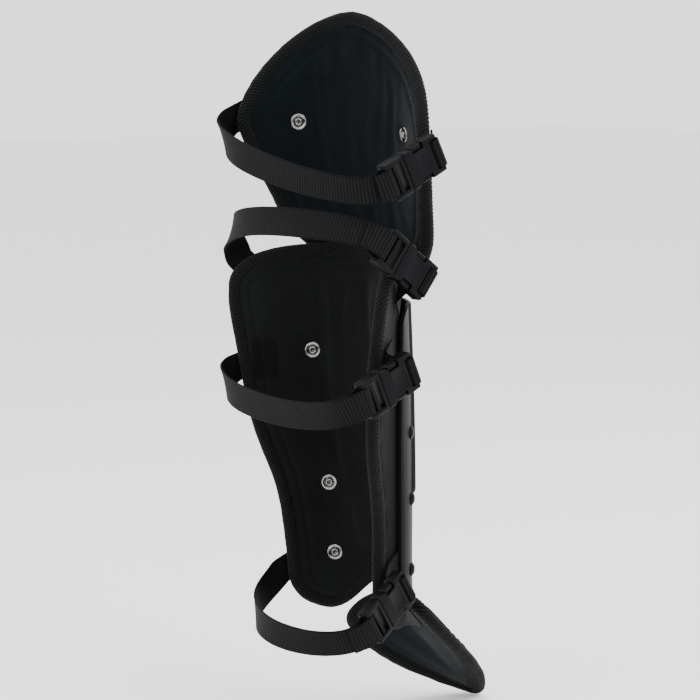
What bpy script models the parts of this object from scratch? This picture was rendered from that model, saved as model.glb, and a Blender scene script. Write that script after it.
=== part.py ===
"""A riot leg guard: a knee panel, a shin guard and a foot flap, strapped round the leg.

The guard stands as it is worn.  Z is up, the toes point along -Y, and the leg goes
in from +Y.  The buckles are on the -X side.  The origin is on the front centre line
of the shin lining, where the shin rests.
"""
import math

import bmesh
import bpy
from mathutils import Matrix, Vector

# Clearances
GAP = 0.0003
SEAM_CLEAR = 0.0012
FACET_SLACK = 0.0006

# Padding, binding, webbing and plastic
PAD_THICK = 0.009
BINDING_WIDTH = 0.009
BINDING_THICK = 0.0112
WEB_WIDTH = 0.025
WEB_THICK = 0.0016
SHELL_THICK = 0.003
SHELL_STAND_OFF = 0.0047

# Shin guard
SHIN_RISE = 0.225
SHIN_DROP = 0.122
SHIN_RADIUS = 0.060
SHIN_HALF_WIDTH = 0.140
SHIN_LEAN = 0.017
SHIN_TOP_CORNER = 0.048
SHIN_HEEL_CORNER = 0.030
INSTEP_RISE = 0.038
SHIN_SHELL_TOP = 0.178
SHIN_SHELL_BOTTOM = 0.093
SHIN_SHELL_ARCH = 0.013
SHIN_SHELL_HALF_WIDTH = 0.081
SHIN_SHELL_FOOT_SHARE = 0.82
SHIN_SHELL_CORNER = 0.022
SHIN_RIDGE_HALF_WIDTH = 0.052
SHIN_RIDGE_RAISE = 0.003
SHIN_RIDGE_BOTTOM = 0.008

# Knee panel
KNEE_TOP = 0.432
KNEE_SIDE = 0.324
KNEE_BOTTOM = 0.190
KNEE_RADIUS = 0.120
KNEE_HALF_WIDTH = 0.1180
KNEE_YAW = math.radians(14)
KNEE_ROLL = math.radians(4.5)
KNEE_SHIFT = 0.009
KNEE_FORWARD = 0.0049
KNEE_LEAN = 0.040
KNEE_SHOULDER_SHARE = 0.48
KNEE_SHELL_MARGIN = 0.042
KNEE_SHELL_DOME = 0.010
TONGUE_WIDTH = 0.090
TONGUE_DROP = 0.120

# Foot flap
FOOT_LENGTH = 0.170
FOOT_HALF_WIDTH = 0.052
FOOT_RADIUS = 0.060
FOOT_PITCH = math.radians(44.5)
FOOT_ROLL = math.radians(20)
FOOT_YAW = math.radians(-1)
FOOT_TOE = 0.003
FOOT_UP = -0.102
FOOT_HEEL_CORNER = 0.010
FOOT_SHELL_MARGIN = 0.014
FOOT_SHELL_SHARE = 0.68
FOOT_BOSS_LENGTH = 0.046
FOOT_BOSS_WIDTH = 0.040
FOOT_BOSS_RAISE = 0.005
TAB_WIDTH = 0.022

# Rivets
WASHER_RADIUS = 0.0073
WASHER_THICK = 0.0014
WASHER_STAND_OFF = 0.0014
WASHER_RING_RAISE = 0.0012
EYE_RADIUS = 0.0032
SHANK_RADIUS = 0.0024
CAP_RADIUS = 0.0060
CAP_HEIGHT = 0.0024
RIVET_TURN = math.radians(49.5)
KNEE_RIVET_SHARE = 0.521
KNEE_RIVET_RISE = 0.005
RIVET_SIDES = 8
SHIN_RIVET_UPS = (0.125, 0.062, 0.001, -0.065)

# Side-release buckles
BUCKLE_WIDTH = 0.034
BUCKLE_THICK = 0.0115
MALE_LENGTH = 0.021
FEMALE_LENGTH = 0.037
BUCKLE_WALL = 0.0022
BAR_WIDTH = 0.0036
SLOT_WIDTH = 0.0048
PRONG_WIDTH = 0.0050
PRONG_LENGTH = 0.022
WINDOW_LENGTH = 0.012
BUCKLE_CLEAR = 0.0035
STRAP_LEAD = 0.030
STRAP_RUN_IN = 0.030
ANCHOR_LEAD = 0.004
TAIL_LENGTH = 0.018
TAIL_CLEAR = 0.0024
EDGE_CLEAR = 0.003

# Label
LABEL_WIDTH = 0.022
LABEL_HEIGHT = 0.036
LABEL_THICK = 0.0008
LABEL_UP = 0.117
LABEL_MARGIN = 0.004

# Each row: share of the shin's height from its foot, share of the radius, flank angle
# in degrees, share of the half width, share of the lean
SHIN_ROWS = (
    (0.000, 0.917, 74, 0.655, 0.18),
    (0.155, 0.917, 72, 0.668, 0.10),
    (0.344, 1.000, 68, 0.731, 0.00),
    (0.519, 1.100, 63, 0.874, -0.18),
    (0.694, 1.200, 58, 0.945, -0.42),
    (0.880, 1.283, 49, 1.000, -0.70),
    (1.000, 1.330, 45, 0.985, -0.88),
)

# Each row: share of the way from the knee panel's foot to its widest height, share
# of the half width
KNEE_ROWS = (
    (0.00, 0.60),
    (0.30, 0.725),
    (0.55, 0.810),
    (0.80, 0.925),
    (1.00, 1.00),
)

# Each row: share of the height from the knee panel's foot, share of its lean
KNEE_LEAN_ROWS = (
    (0.00, 0.00),
    (0.18, -0.14),
    (0.40, -0.42),
    (0.58, -0.56),
    (0.80, -0.66),
    (1.00, -0.98),
)

# Each row: strap number, height of the far tail, share of the half width where it ends,
# its slope in degrees, share of the lead as it leaves, rise of the webbing there, reach
# behind the edges, heights behind the far and the near edge
STRAP_ROWS = (
    (1, 0.3245, 1.000, 30, 0.45, -0.006, 0.050, 0.308, 0.288),
    (2, 0.2090, 0.895, -45, 0.15, 0.020, 0.048, 0.262, 0.252),
    (3, 0.1070, 1.000, 20, 0.60, -0.008, 0.044, 0.090, 0.077),
    (4, -0.0830, 1.000, 28, 0.90, -0.016, 0.084, -0.112, -0.119),
)

# Each row: strap number, height of the buckle, share of the half width beside it, toe
# offset, pitch and yaw in degrees, height where the near tail ends and how far that is
# from the panel's edge
BUCKLE_ROWS = (
    (1, 0.3005, 1.00, -0.040, 27, 4, 0.319, 0.000),
    (2, 0.218, 0.775, -0.001, -38, 4, 0.192, 0.050),
    (3, 0.1185, 1.00, -0.003, 23.5, -1, 0.134, 0.016),
    (4, -0.083, 1.00, -0.009, 30.5, -12, -0.061, 0.017),
)

# Each row: share of the foot flap's length from its heel, share of the half width
FOOT_ROWS = (
    (0.00, 0.90),
    (0.25, 1.00),
    (0.55, 0.84),
    (0.80, 0.53),
    (1.00, 0.26),
)


# Curves and frames

def world(near, toe, up):
    """A point from its distances towards the buckles, the toes and the knee."""
    return Vector((-near, -toe, up))


def mix(a, b, share):
    return a + (b - a) * share


def ease(low, high, value):
    """0 below low, 1 above high and smooth between them."""
    t = min(1.0, max(0.0, (value - low) / (high - low)))
    return t * t * (3 - 2 * t)


def along(rows, t, column):
    """The value in a column at t, on a smooth curve through the rows."""
    if t <= rows[0][0]:
        return rows[0][column]
    if t >= rows[-1][0]:
        return rows[-1][column]
    k = max(i for i in range(len(rows) - 1) if rows[i][0] <= t)
    a, b = rows[k], rows[k + 1]
    before = rows[max(k - 1, 0)]
    after = rows[min(k + 2, len(rows) - 1)]
    span = b[0] - a[0]
    slope_a = (b[column] - before[column]) / (b[0] - before[0]) * span
    slope_b = (after[column] - a[column]) / (after[0] - a[0]) * span
    x = (t - a[0]) / span
    return (a[column] * (2 * x ** 3 - 3 * x ** 2 + 1) + slope_a * (x ** 3 - 2 * x ** 2 + x)
            + b[column] * (3 * x ** 2 - 2 * x ** 3) + slope_b * (x ** 3 - x ** 2))


def bezier(points, t):
    """The point at t on the Bezier curve with these control points."""
    points = list(points)
    while len(points) > 1:
        points = [a.lerp(b, t) for a, b in zip(points, points[1:])]
    return points[0]


def round_drop(p, power):
    """How far a rounded end has fallen at p, from 0 in the middle to 1 at the side."""
    return 1 - (1 - min(1.0, abs(p)) ** power) ** (1 / power)


# Materials and meshes

def material(name, colour, roughness, metallic=0.0):
    made = bpy.data.materials.new(name)
    made.use_nodes = True
    shader = made.node_tree.nodes["Principled BSDF"]
    shader.inputs["Base Color"].default_value = (*colour, 1.0)
    shader.inputs["Roughness"].default_value = roughness
    shader.inputs["Metallic"].default_value = metallic
    return made


def solid(name, points, faces, finish, merge_flat=False):
    """A closed mesh object with its faces turned outwards."""
    mesh = bpy.data.meshes.new(name)
    mesh.from_pydata([tuple(point) for point in points], [], faces)
    work = bmesh.new()
    work.from_mesh(mesh)
    bmesh.ops.recalc_face_normals(work, faces=work.faces)
    if merge_flat:
        bmesh.ops.dissolve_limit(work, angle_limit=math.radians(0.5), verts=work.verts,
                                 edges=work.edges)
    work.to_mesh(mesh)
    work.free()
    mesh.materials.append(finish)
    made = bpy.data.objects.new(name, mesh)
    bpy.context.collection.objects.link(made)
    return made


def tube(name, stations, finish, ring=False):
    """A solid through stations, each a closed loop of as many points."""
    count = len(stations)
    sides = len(stations[0])
    points = [point for station in stations for point in station]
    faces = []
    for i in range(count if ring else count - 1):
        for j in range(sides):
            a = i * sides + j
            b = i * sides + (j + 1) % sides
            c = (i + 1) % count * sides + (j + 1) % sides
            d = (i + 1) % count * sides + j
            faces.append((a, b, c, d))
    if not ring:
        faces.append(tuple(range(sides)))
        faces.append(tuple((count - 1) * sides + j for j in range(sides)))
    return solid(name, points, faces, finish)


def cells(name, cuts, filled, frame, finish):
    """A body of the boxes that are filled, between cuts along each of three axes."""
    counts = [len(axis) - 1 for axis in cuts]
    numbers = {}
    faces = []

    def corner(key):
        return numbers.setdefault(key, len(numbers))

    def is_filled(cell):
        inside = all(0 <= cell[n] < counts[n] for n in range(3))
        return inside and filled(*(0.5 * (cuts[n][cell[n]] + cuts[n][cell[n] + 1])
                                   for n in range(3)))

    for i in range(counts[0]):
        for j in range(counts[1]):
            for k in range(counts[2]):
                if not is_filled((i, j, k)):
                    continue
                for axis in range(3):
                    u, v = [n for n in range(3) if n != axis]
                    for side in (0, 1):
                        beyond = [i, j, k]
                        beyond[axis] += 2 * side - 1
                        if is_filled(tuple(beyond)):
                            continue
                        face = []
                        for du, dv in ((0, 0), (1, 0), (1, 1), (0, 1)):
                            key = [i, j, k]
                            key[axis] += side
                            key[u] += du
                            key[v] += dv
                            face.append(corner(tuple(key)))
                        faces.append(tuple(face))
    points = [frame @ Vector([cuts[n][key[n]] for n in range(3)]) for key in numbers]
    return solid(name, points, faces, finish, merge_flat=True)


# Panels: a flat pattern of side and up, bent round the leg

class Panel:
    """A padded sheet with a flat outline and a way of bending it."""

    def __init__(self, name, place, outline, columns, rows):
        self.name = name
        self.place = place
        self.outline = outline
        self.columns = columns
        self.rows = rows

    def flat(self, i, j):
        """The flat side and up of a grid point."""
        k = 2 * i / self.columns - 1
        p = k + 0.6 * math.sin(math.pi * k) / math.pi
        m = 2 * j / self.rows - 1
        q = 0.5 + 0.5 * (m + 0.4 * math.sin(math.pi * m) / math.pi)
        return self.outline(p, q)

    def liner(self, finish):
        """The padding, as thick as it is all over."""
        return self.sheet(self.name + "_liner", lambda s, z: 0.0, lambda s, z: PAD_THICK, finish)

    def sheet(self, name, inner, outer, finish):
        """A closed sheet between two depths, each worked out from the flat place."""
        across, up = self.columns + 1, self.rows + 1
        points = []
        for depth in (inner, outer):
            for j in range(up):
                for i in range(across):
                    s, z = self.flat(i, j)
                    points.append(self.place(s, z, depth(s, z)))
        layer = across * up
        faces = []
        for j in range(up - 1):
            for i in range(across - 1):
                a = j * across + i
                quad = (a, a + 1, a + across + 1, a + across)
                faces.append(quad)
                faces.append(tuple(n + layer for n in reversed(quad)))
        rim = self.rim_numbers()
        for a, b in zip(rim, rim[1:] + rim[:1]):
            faces.append((a, b, b + layer, a + layer))
        return solid(name, points, faces, finish)

    def rim_numbers(self):
        across, up = self.columns + 1, self.rows + 1
        bottom = [i for i in range(across - 1)]
        side = [j * across + across - 1 for j in range(up - 1)]
        top = [(up - 1) * across + i for i in range(across - 1, 0, -1)]
        back = [j * across for j in range(up - 1, 0, -1)]
        return bottom + side + top + back

    def rim(self):
        """The flat outline as a list, with the direction out of the sheet at each point."""
        across = self.columns + 1
        loop = [self.flat(n % across, n // across) for n in self.rim_numbers()]
        ways = []
        for k, (s, z) in enumerate(loop):
            s0, z0 = loop[k - 1]
            s1, z1 = loop[(k + 1) % len(loop)]
            length = math.hypot(s1 - s0, z1 - z0)
            ways.append(((z1 - z0) / length, -(s1 - s0) / length))
        return loop, ways

    def binding(self, finish):
        """The tape round the edge, a half-round strip just outside the padding."""
        half = BINDING_THICK / 2
        section = [(0, -half), (0.72, -0.82 * half), (1, 0), (0.72, 0.82 * half), (0, half)]
        stations = []
        for (s, z), (out_s, out_z) in zip(*self.rim()):
            station = []
            for share, depth in section:
                out = SEAM_CLEAR + share * (BINDING_WIDTH - SEAM_CLEAR)
                station.append(self.place(s + out * out_s, z + out * out_z,
                                          PAD_THICK / 2 + depth))
            stations.append(station)
        return tube(self.name + "_binding", stations, finish, ring=True)


def bend(side, radius, flank, depth):
    """Side and toe distances and the outward turn, on an arc that ends in a flat flank."""
    arc = radius * flank
    reach = abs(side)
    turn = min(reach, arc) / radius
    straight = max(0.0, reach - arc)
    near = (radius + depth) * math.sin(turn) + straight * math.cos(turn)
    toe = (radius + depth) * math.cos(turn) - radius - straight * math.sin(turn)
    return math.copysign(near, side), toe


def shin_row(up, column):
    share = (up + SHIN_DROP) / (SHIN_RISE + SHIN_DROP)
    return along(SHIN_ROWS, share, column)


def shin_place(side, up, depth):
    near, toe = bend(side, SHIN_RADIUS * shin_row(up, 1), math.radians(shin_row(up, 2)), depth)
    return world(near, toe + SHIN_LEAN * shin_row(up, 4), up)


def shin_half_width(up):
    return SHIN_HALF_WIDTH * shin_row(up, 3) - BINDING_WIDTH


def shin_outline(p, q):
    top = SHIN_RISE - BINDING_WIDTH - SHIN_TOP_CORNER * round_drop(p, 3.2)
    instep = INSTEP_RISE * (1 - ease(0.0, 0.66, abs(p)))
    heel = SHIN_HEEL_CORNER * round_drop(max(0.0, abs(p) - 0.5) / 0.5, 2.0)
    foot = -SHIN_DROP + BINDING_WIDTH + instep + heel
    up = mix(foot, top, q)
    return p * shin_half_width(up), up


def shin_shell_half_width(up):
    """The shell reaches a little past the rivets, and less where the shin is thin."""
    widen = ease(-SHIN_SHELL_BOTTOM, SHIN_SHELL_TOP * 0.6, up)
    return SHIN_SHELL_HALF_WIDTH * mix(SHIN_SHELL_FOOT_SHARE, 1.0, widen)


def shin_shell_outline(p, q):
    top = SHIN_SHELL_TOP - SHIN_SHELL_CORNER * round_drop(p, 3.0)
    arch = SHIN_SHELL_ARCH * (1 - ease(0.2, 0.75, abs(p)))
    corner = 0.4 * SHIN_SHELL_CORNER * round_drop(p, 5.0)
    up = mix(-SHIN_SHELL_BOTTOM + arch + corner, top, q)
    return p * shin_shell_half_width(up), up


def shell_inner(side, up):
    return PAD_THICK + SHELL_STAND_OFF


def shin_shell_outer(side, up):
    """A broad ridge down the front is raised, and ends in a step above the ankle."""
    across = 1 - ease(SHIN_RIDGE_HALF_WIDTH - 0.006, SHIN_RIDGE_HALF_WIDTH, abs(side))
    down = ease(SHIN_RIDGE_BOTTOM - 0.006, SHIN_RIDGE_BOTTOM + 0.002, up)
    return shell_inner(side, up) + SHELL_THICK + SHIN_RIDGE_RAISE * across * down


def knee_place(side, up, depth):
    near, toe = bend(side, KNEE_RADIUS, math.radians(80), depth)
    share = (up - KNEE_BOTTOM) / (KNEE_TOP - KNEE_BOTTOM)
    toe += KNEE_FORWARD + KNEE_LEAN * along(KNEE_LEAN_ROWS, share, 1)
    turned_near = near * math.cos(KNEE_YAW) - toe * math.sin(KNEE_YAW)
    turned_toe = near * math.sin(KNEE_YAW) + toe * math.cos(KNEE_YAW)
    return world(turned_near - KNEE_SHIFT, turned_toe, up - near * math.tan(KNEE_ROLL))


def knee_half_width(up):
    share = (up - KNEE_BOTTOM) / (KNEE_SIDE - KNEE_BOTTOM)
    return KNEE_HALF_WIDTH * along(KNEE_ROWS, share, 1)


def knee_outline(p, q, margin=BINDING_WIDTH):
    top = mix(KNEE_TOP - margin, KNEE_SIDE, round_drop(p, 1.55))
    shoulder = mix(KNEE_BOTTOM, KNEE_SIDE, KNEE_SHOULDER_SHARE)
    bottom = mix(KNEE_BOTTOM + margin, shoulder, round_drop(p, 2.2))
    up = mix(bottom, top, q)
    return p * (knee_half_width(up) - margin), up


def knee_shell_outline(p, q):
    return knee_outline(p, q, KNEE_SHELL_MARGIN)


def knee_shell_inner(side, up):
    """The knee cap's shell is domed away from the padding in its middle."""
    spread = math.hypot(side / KNEE_HALF_WIDTH, (up - KNEE_SIDE) / (KNEE_TOP - KNEE_SIDE))
    return PAD_THICK + GAP + KNEE_SHELL_DOME * (1 - ease(0.1, 0.72, spread))


def knee_shell_outer(side, up):
    return knee_shell_inner(side, up) + SHELL_THICK


def foot_frame():
    """The foot flap's frame: across, forward and out, at the middle of its heel edge."""
    turn = (Matrix.Rotation(FOOT_YAW, 4, "Z") @ Matrix.Rotation(FOOT_PITCH, 4, "X")
            @ Matrix.Rotation(FOOT_ROLL, 4, "Y"))
    return Matrix.Translation(world(0, FOOT_TOE, FOOT_UP)) @ turn


def foot_place(side, forward, depth):
    near, rise = bend(side, FOOT_RADIUS, math.radians(80), depth)
    return foot_frame() @ Vector((-near, -forward, rise))


def foot_outline(p, q, margin=BINDING_WIDTH):
    heel = margin + FOOT_HEEL_CORNER * round_drop(p, 2.2)
    tip = FOOT_LENGTH - margin - 0.030 * round_drop(p, 2.0)
    forward = mix(heel, tip, q)
    half = FOOT_HALF_WIDTH * along(FOOT_ROWS, forward / FOOT_LENGTH, 1) - margin
    return p * half, forward


def foot_shell_outline(p, q):
    """The plate takes a share of the padding's width, and stops short of its ends."""
    _, forward = foot_outline(p, q, BINDING_WIDTH + FOOT_SHELL_MARGIN)
    half = FOOT_HALF_WIDTH * along(FOOT_ROWS, forward / FOOT_LENGTH, 1) - BINDING_WIDTH
    return p * FOOT_SHELL_SHARE * half, forward


def foot_shell_inner(side, forward):
    return PAD_THICK + GAP


def foot_shell_outer(side, forward):
    """A raised boss stands in the middle of the foot plate."""
    middle = 0.52 * FOOT_LENGTH
    across = 1 - ease(FOOT_BOSS_WIDTH / 2 - 0.006, FOOT_BOSS_WIDTH / 2, abs(side))
    length = 1 - ease(FOOT_BOSS_LENGTH / 2 - 0.008, FOOT_BOSS_LENGTH / 2, abs(forward - middle))
    return foot_shell_inner(side, forward) + SHELL_THICK + FOOT_BOSS_RAISE * across * length


# Rivets

def rivet_frame(place, side, up):
    """A frame on the inside of a panel, with its third axis pointing out."""
    step = 0.002
    origin = place(side, up, 0.0)
    across = (place(side + step, up, 0.0) - place(side - step, up, 0.0)).normalized()
    rise = (place(side, up + step, 0.0) - place(side, up - step, 0.0)).normalized()
    out = across.cross(rise).normalized()
    if out.dot(place(side, up, step) - origin) < 0:
        out = -out
    rise = out.cross(across)
    frame = Matrix((across, rise, out)).transposed().to_4x4()
    frame.translation = origin
    return frame


def turned(name, profile, sides, frame, finish):
    """A solid turned from a profile of radius and height that starts and ends on the axis."""
    points = [frame @ Vector((0, 0, profile[0][1])), frame @ Vector((0, 0, profile[-1][1]))]
    rings = profile[1:-1]
    for radius, height in rings:
        for k in range(sides):
            angle = 2 * math.pi * k / sides
            points.append(frame @ Vector((radius * math.cos(angle), radius * math.sin(angle),
                                          height)))
    faces = []
    for k in range(sides):
        n = (k + 1) % sides
        faces.append((0, 2 + k, 2 + n))
        last = 2 + (len(rings) - 1) * sides
        faces.append((1, last + n, last + k))
        for r in range(len(rings) - 1):
            low = 2 + r * sides
            high = low + sides
            faces.append((low + k, high + k, high + n, low + n))
    return solid(name, points, faces, finish)


def rivet(name, frame, outside, finish):
    """A dished washer inside, a shank through the padding and a domed cap outside."""
    seat = -WASHER_STAND_OFF
    top = outside + GAP
    profile = (
        (0, seat - WASHER_THICK - 0.2 * WASHER_RING_RAISE),
        (EYE_RADIUS, seat - WASHER_THICK - WASHER_RING_RAISE),
        (0.62 * WASHER_RADIUS, seat - 0.55 * WASHER_THICK),
        (0.88 * WASHER_RADIUS, seat - WASHER_THICK),
        (WASHER_RADIUS, seat),
        (SHANK_RADIUS, seat),
        (SHANK_RADIUS, top),
        (CAP_RADIUS, top),
        (0.72 * CAP_RADIUS, top + 0.8 * CAP_HEIGHT),
        (0, top + CAP_HEIGHT),
    )
    return turned(name, profile, RIVET_SIDES, frame, finish)


def drill(target, frames):
    """Holes through a sheet for the shanks of its rivets."""
    hole = bpy.data.materials.new(target.name + "_hole")
    reach = 0.06
    for number, frame in enumerate(frames):
        radius = SHANK_RADIUS + GAP
        cutter = turned(target.name + "_cut_" + str(number),
                        ((0, -reach), (radius, -reach), (radius, reach), (0, reach)),
                        RIVET_SIDES, frame, hole)
        cutter.hide_render = True
        cutter.display_type = "WIRE"
        cut = target.modifiers.new("Rivet hole", "BOOLEAN")
        cut.operation = "DIFFERENCE"
        cut.solver = "EXACT"
        cut.object = cutter


# Buckles

class Buckle:
    """Where a buckle lies: its middle, and its length, width and outward axes."""

    def __init__(self, middle, pitch, yaw):
        forward = world(math.cos(pitch) * math.sin(yaw), math.cos(pitch) * math.cos(yaw),
                        math.sin(pitch))
        out = world(1, 0, 0)
        out = (out - out.dot(forward) * forward).normalized()
        width = out.cross(forward)
        self.frame = Matrix((forward, width, out)).transposed().to_4x4()
        self.frame.translation = middle
        self.rear = -(MALE_LENGTH + FEMALE_LENGTH) / 2
        self.front = (MALE_LENGTH + FEMALE_LENGTH) / 2

    def point(self, forward, width, out):
        return self.frame @ Vector((forward, width, out))

    def width_up(self):
        """The way across the buckle that points up."""
        way = self.frame.to_3x3().col[1]
        return way if way.z > 0 else -way


def buckle_male(name, buckle, finish):
    """A ladder with two slots for the webbing, and three prongs in the other half."""
    half = BUCKLE_WIDTH / 2
    slot_half = WEB_WIDTH / 2 + GAP
    rear = buckle.rear
    bar_1 = rear + BAR_WIDTH
    slot_1 = bar_1 + SLOT_WIDTH
    bar_2 = slot_1 + BAR_WIDTH
    slot_2 = bar_2 + SLOT_WIDTH
    base = rear + MALE_LENGTH
    tip = base + PRONG_LENGTH
    prong_in = slot_half - PRONG_WIDTH
    tongue = 0.5 * PRONG_WIDTH
    thick = BUCKLE_THICK / 2
    inside = thick - BUCKLE_WALL - GAP
    lengths = (rear, bar_1, slot_1, bar_2, slot_2, base - GAP, tip)
    widths = (-half, -slot_half, -prong_in, -tongue, tongue, prong_in, slot_half, half)
    depths = (-thick, -inside, inside, thick)

    def filled(forward, width, out):
        across = abs(width)
        if forward < base - GAP:
            in_slot = bar_1 < forward < slot_1 or bar_2 < forward < slot_2
            return not (in_slot and across < slot_half)
        prong = prong_in < across < slot_half or across < tongue
        return prong and abs(out) < inside

    return cells(name, (lengths, widths, depths), filled, buckle.frame, finish)


def buckle_female(name, buckle, finish):
    """A sleeve for the prongs with a window at each side, and a bar for the webbing."""
    half = BUCKLE_WIDTH / 2
    slot_half = WEB_WIDTH / 2 + GAP
    mouth = buckle.rear + MALE_LENGTH
    window = mouth + 0.010
    window_end = window + WINDOW_LENGTH
    floor = mouth + PRONG_LENGTH + 2 * GAP
    slot = buckle.front - BAR_WIDTH - SLOT_WIDTH
    bar = buckle.front - BAR_WIDTH
    front = buckle.front
    wall = half - BUCKLE_WALL
    thick = BUCKLE_THICK / 2
    inside = thick - BUCKLE_WALL
    lengths = (mouth, window, window_end, floor, slot, bar, front)
    widths = (-half, -wall, -slot_half, slot_half, wall, half)
    depths = (-thick, -inside, inside, thick)

    def filled(forward, width, out):
        across = abs(width)
        if forward > slot:
            return forward > bar or across > slot_half
        if forward > floor:
            return True
        if abs(out) > inside:
            return True
        return across > wall and not window < forward < window_end

    return cells(name, (lengths, widths, depths), filled, buckle.frame, finish)


# Webbing

def band(name, centres, ways, finish, width=WEB_WIDTH):
    """A strip of webbing along centres, with the way across it at each one."""
    stations = []
    last = len(centres) - 1
    for k, (centre, way) in enumerate(zip(centres, ways)):
        ahead = (centres[min(k + 1, last)] - centres[max(k - 1, 0)]).normalized()
        across = (way - way.dot(ahead) * ahead).normalized()
        out = ahead.cross(across)
        w = across * (width / 2)
        t = out * (WEB_THICK / 2)
        stations.append([centre - w - t, centre + w - t, centre + w + t, centre - w + t])
    return tube(name, stations, finish)


def strap(name, tail, lead, corner, swing, buckle, finish):
    """From a sewn tail on the far side, round the back of the leg, into the buckle."""
    centres, ways = tail
    turn = GAP + WEB_THICK / 2 + FACET_SLACK
    over = BUCKLE_THICK / 2 + turn
    bar = buckle.rear + BAR_WIDTH
    rear = buckle.point(buckle.rear - 0.5 * BAR_WIDTH, 0, over)
    before = buckle.point(buckle.rear - STRAP_RUN_IN, 0, 0.6 * over)
    controls = (centres[-1], centres[-1] + lead, corner, swing, before, rear)
    leave = ways[-1]
    steps = 20
    for k in range(1, steps + 1):
        share = k / steps
        centres.append(bezier(controls, share))
        ways.append(leave.lerp(world(0, 0, 1), ease(0.0, 0.4, share))
                    .lerp(buckle.width_up(), ease(0.4, 1.0, share)))
    for forward, out in ((bar - 0.4 * BAR_WIDTH, over), (bar + 0.1 * SLOT_WIDTH, over),
                         (bar + 0.5 * SLOT_WIDTH, BUCKLE_THICK / 2 - turn),
                         (bar + 0.5 * SLOT_WIDTH, 0)):
        centres.append(buckle.point(forward, 0, out))
        ways.append(buckle.width_up())
    return band(name, centres, ways, finish)


def anchor(name, tail, buckle, finish):
    """From a sewn tail on the near side, through the buckle's slot and round its end bar."""
    turn = GAP + WEB_THICK / 2 + FACET_SLACK
    over = BUCKLE_THICK / 2 + turn
    bar = buckle.front - BAR_WIDTH
    slot = bar - 0.5 * SLOT_WIDTH
    centres, ways = tail
    start = ways[-1]
    leave = (centres[-1] - centres[-2]).normalized()
    enter = buckle.point(slot, 0, -over - turn)
    controls = (centres[-1], centres[-1] + leave * ANCHOR_LEAD,
                buckle.point(slot, 0, -over - turn - ANCHOR_LEAD), enter)
    steps = 7
    for k in range(1, steps + 1):
        share = k / steps
        centres.append(bezier(controls, share))
        ways.append(start.lerp(buckle.width_up(), ease(0.1, 0.8, share)))
    for forward, out in ((slot, 0), (slot, BUCKLE_THICK / 2 - turn),
                         (bar - 0.1 * SLOT_WIDTH, over), (buckle.front, over),
                         (buckle.front + turn, BUCKLE_THICK / 2),
                         (buckle.front + turn, -BUCKLE_THICK / 2)):
        centres.append(buckle.point(forward, 0, out))
        ways.append(buckle.width_up())
    return band(name, centres, ways, finish)


def panel_tail(place, side, up, inward, slope, depth):
    """Middle line of webbing that lies on a panel, and the way across it.

    It ends at this side and height, and lies inward of them at this slope.
    """
    across_side = -inward * math.sin(slope) * WEB_WIDTH / 2
    across_up = math.cos(slope) * WEB_WIDTH / 2
    centres, ways = [], []
    for step in (TAIL_LENGTH, TAIL_LENGTH / 2, 0):
        s = side + inward * step * math.cos(slope)
        z = up + step * math.sin(slope)
        centres.append(place(s, z, depth))
        ways.append((place(s + across_side, z + across_up, depth)
                     - place(s - across_side, z - across_up, depth)).normalized())
    return centres, ways


def buckle_on(place, half, share, up, toe_offset, pitch, yaw):
    """A buckle beside the panel, at this share of its half width, clear of it."""
    base = place(share * half(up), up, PAD_THICK)
    widest = max(-place(share * half(up + step), up + step, PAD_THICK).x
                 for step in (-BUCKLE_WIDTH / 2, 0, BUCKLE_WIDTH / 2))
    swing = (MALE_LENGTH + FEMALE_LENGTH) / 2 * abs(math.sin(yaw))
    near = widest + BINDING_THICK / 2 + BUCKLE_CLEAR + BUCKLE_THICK / 2 + swing
    return Buckle(world(near, -base.y + toe_offset, up), pitch, yaw)


def tape_depth():
    """Middle of webbing that passes over a bound edge, measured from a panel's inside."""
    return (PAD_THICK + BINDING_THICK) / 2 + GAP + WEB_THICK / 2


def build_knee(finishes):
    panel = Panel("knee", knee_place, knee_outline, 16, 10)
    liner = panel.liner(finishes["knee_fabric"])
    panel.binding(finishes["binding"])
    cap = Panel("knee_cap", knee_place, knee_shell_outline, 12, 8)
    shell = cap.sheet("knee_shell", knee_shell_inner, knee_shell_outer, finishes["shell"])
    frames = []
    reach = KNEE_RIVET_SHARE * KNEE_HALF_WIDTH
    up = KNEE_SIDE + KNEE_RIVET_RISE
    for side, name in ((-reach, "far"), (reach, "near")):
        frame = rivet_frame(knee_place, side, up)
        frames.append(frame)
        outside = knee_shell_outer(side, up) + 2 * FACET_SLACK
        rivet("rivet_knee_" + name, frame, outside, finishes["metal"])
    drill(liner, frames)
    drill(shell, frames)


def tongue_outline(p, q):
    top = KNEE_BOTTOM + 0.5 * (SHIN_RISE - KNEE_BOTTOM)
    bottom = TONGUE_DROP + 0.012 * round_drop(p, 3.0)
    return p * TONGUE_WIDTH / 2, mix(bottom, top, q)


def build_shin(finishes):
    panel = Panel("shin", shin_place, shin_outline, 16, 12)
    liner = panel.liner(finishes["shin_fabric"])
    panel.binding(finishes["binding"])
    plate = Panel("shin_plate", shin_place, shin_shell_outline, 16, 10)
    shell = plate.sheet("shin_shell", shell_inner, shin_shell_outer, finishes["shell"])
    frames = []
    for row, up in enumerate(SHIN_RIVET_UPS):
        turn = SHIN_RADIUS * shin_row(up, 1) * RIVET_TURN
        for side, name in ((-turn, "far"), (turn, "near")):
            frame = rivet_frame(shin_place, side, up)
            frames.append(frame)
            outside = shin_shell_outer(side, up) + FACET_SLACK
            rivet("rivet_shin_%s_%d" % (name, row + 1), frame, outside, finishes["metal"])
    drill(liner, frames)
    drill(shell, frames)
    low = tape_depth() - WEB_THICK / 2
    tongue = Panel("tongue", shin_place, tongue_outline, 8, 3)
    tongue.sheet("knee_tongue", lambda s, z: low, lambda s, z: low + WEB_THICK,
                 finishes["knee_fabric"])


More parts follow.
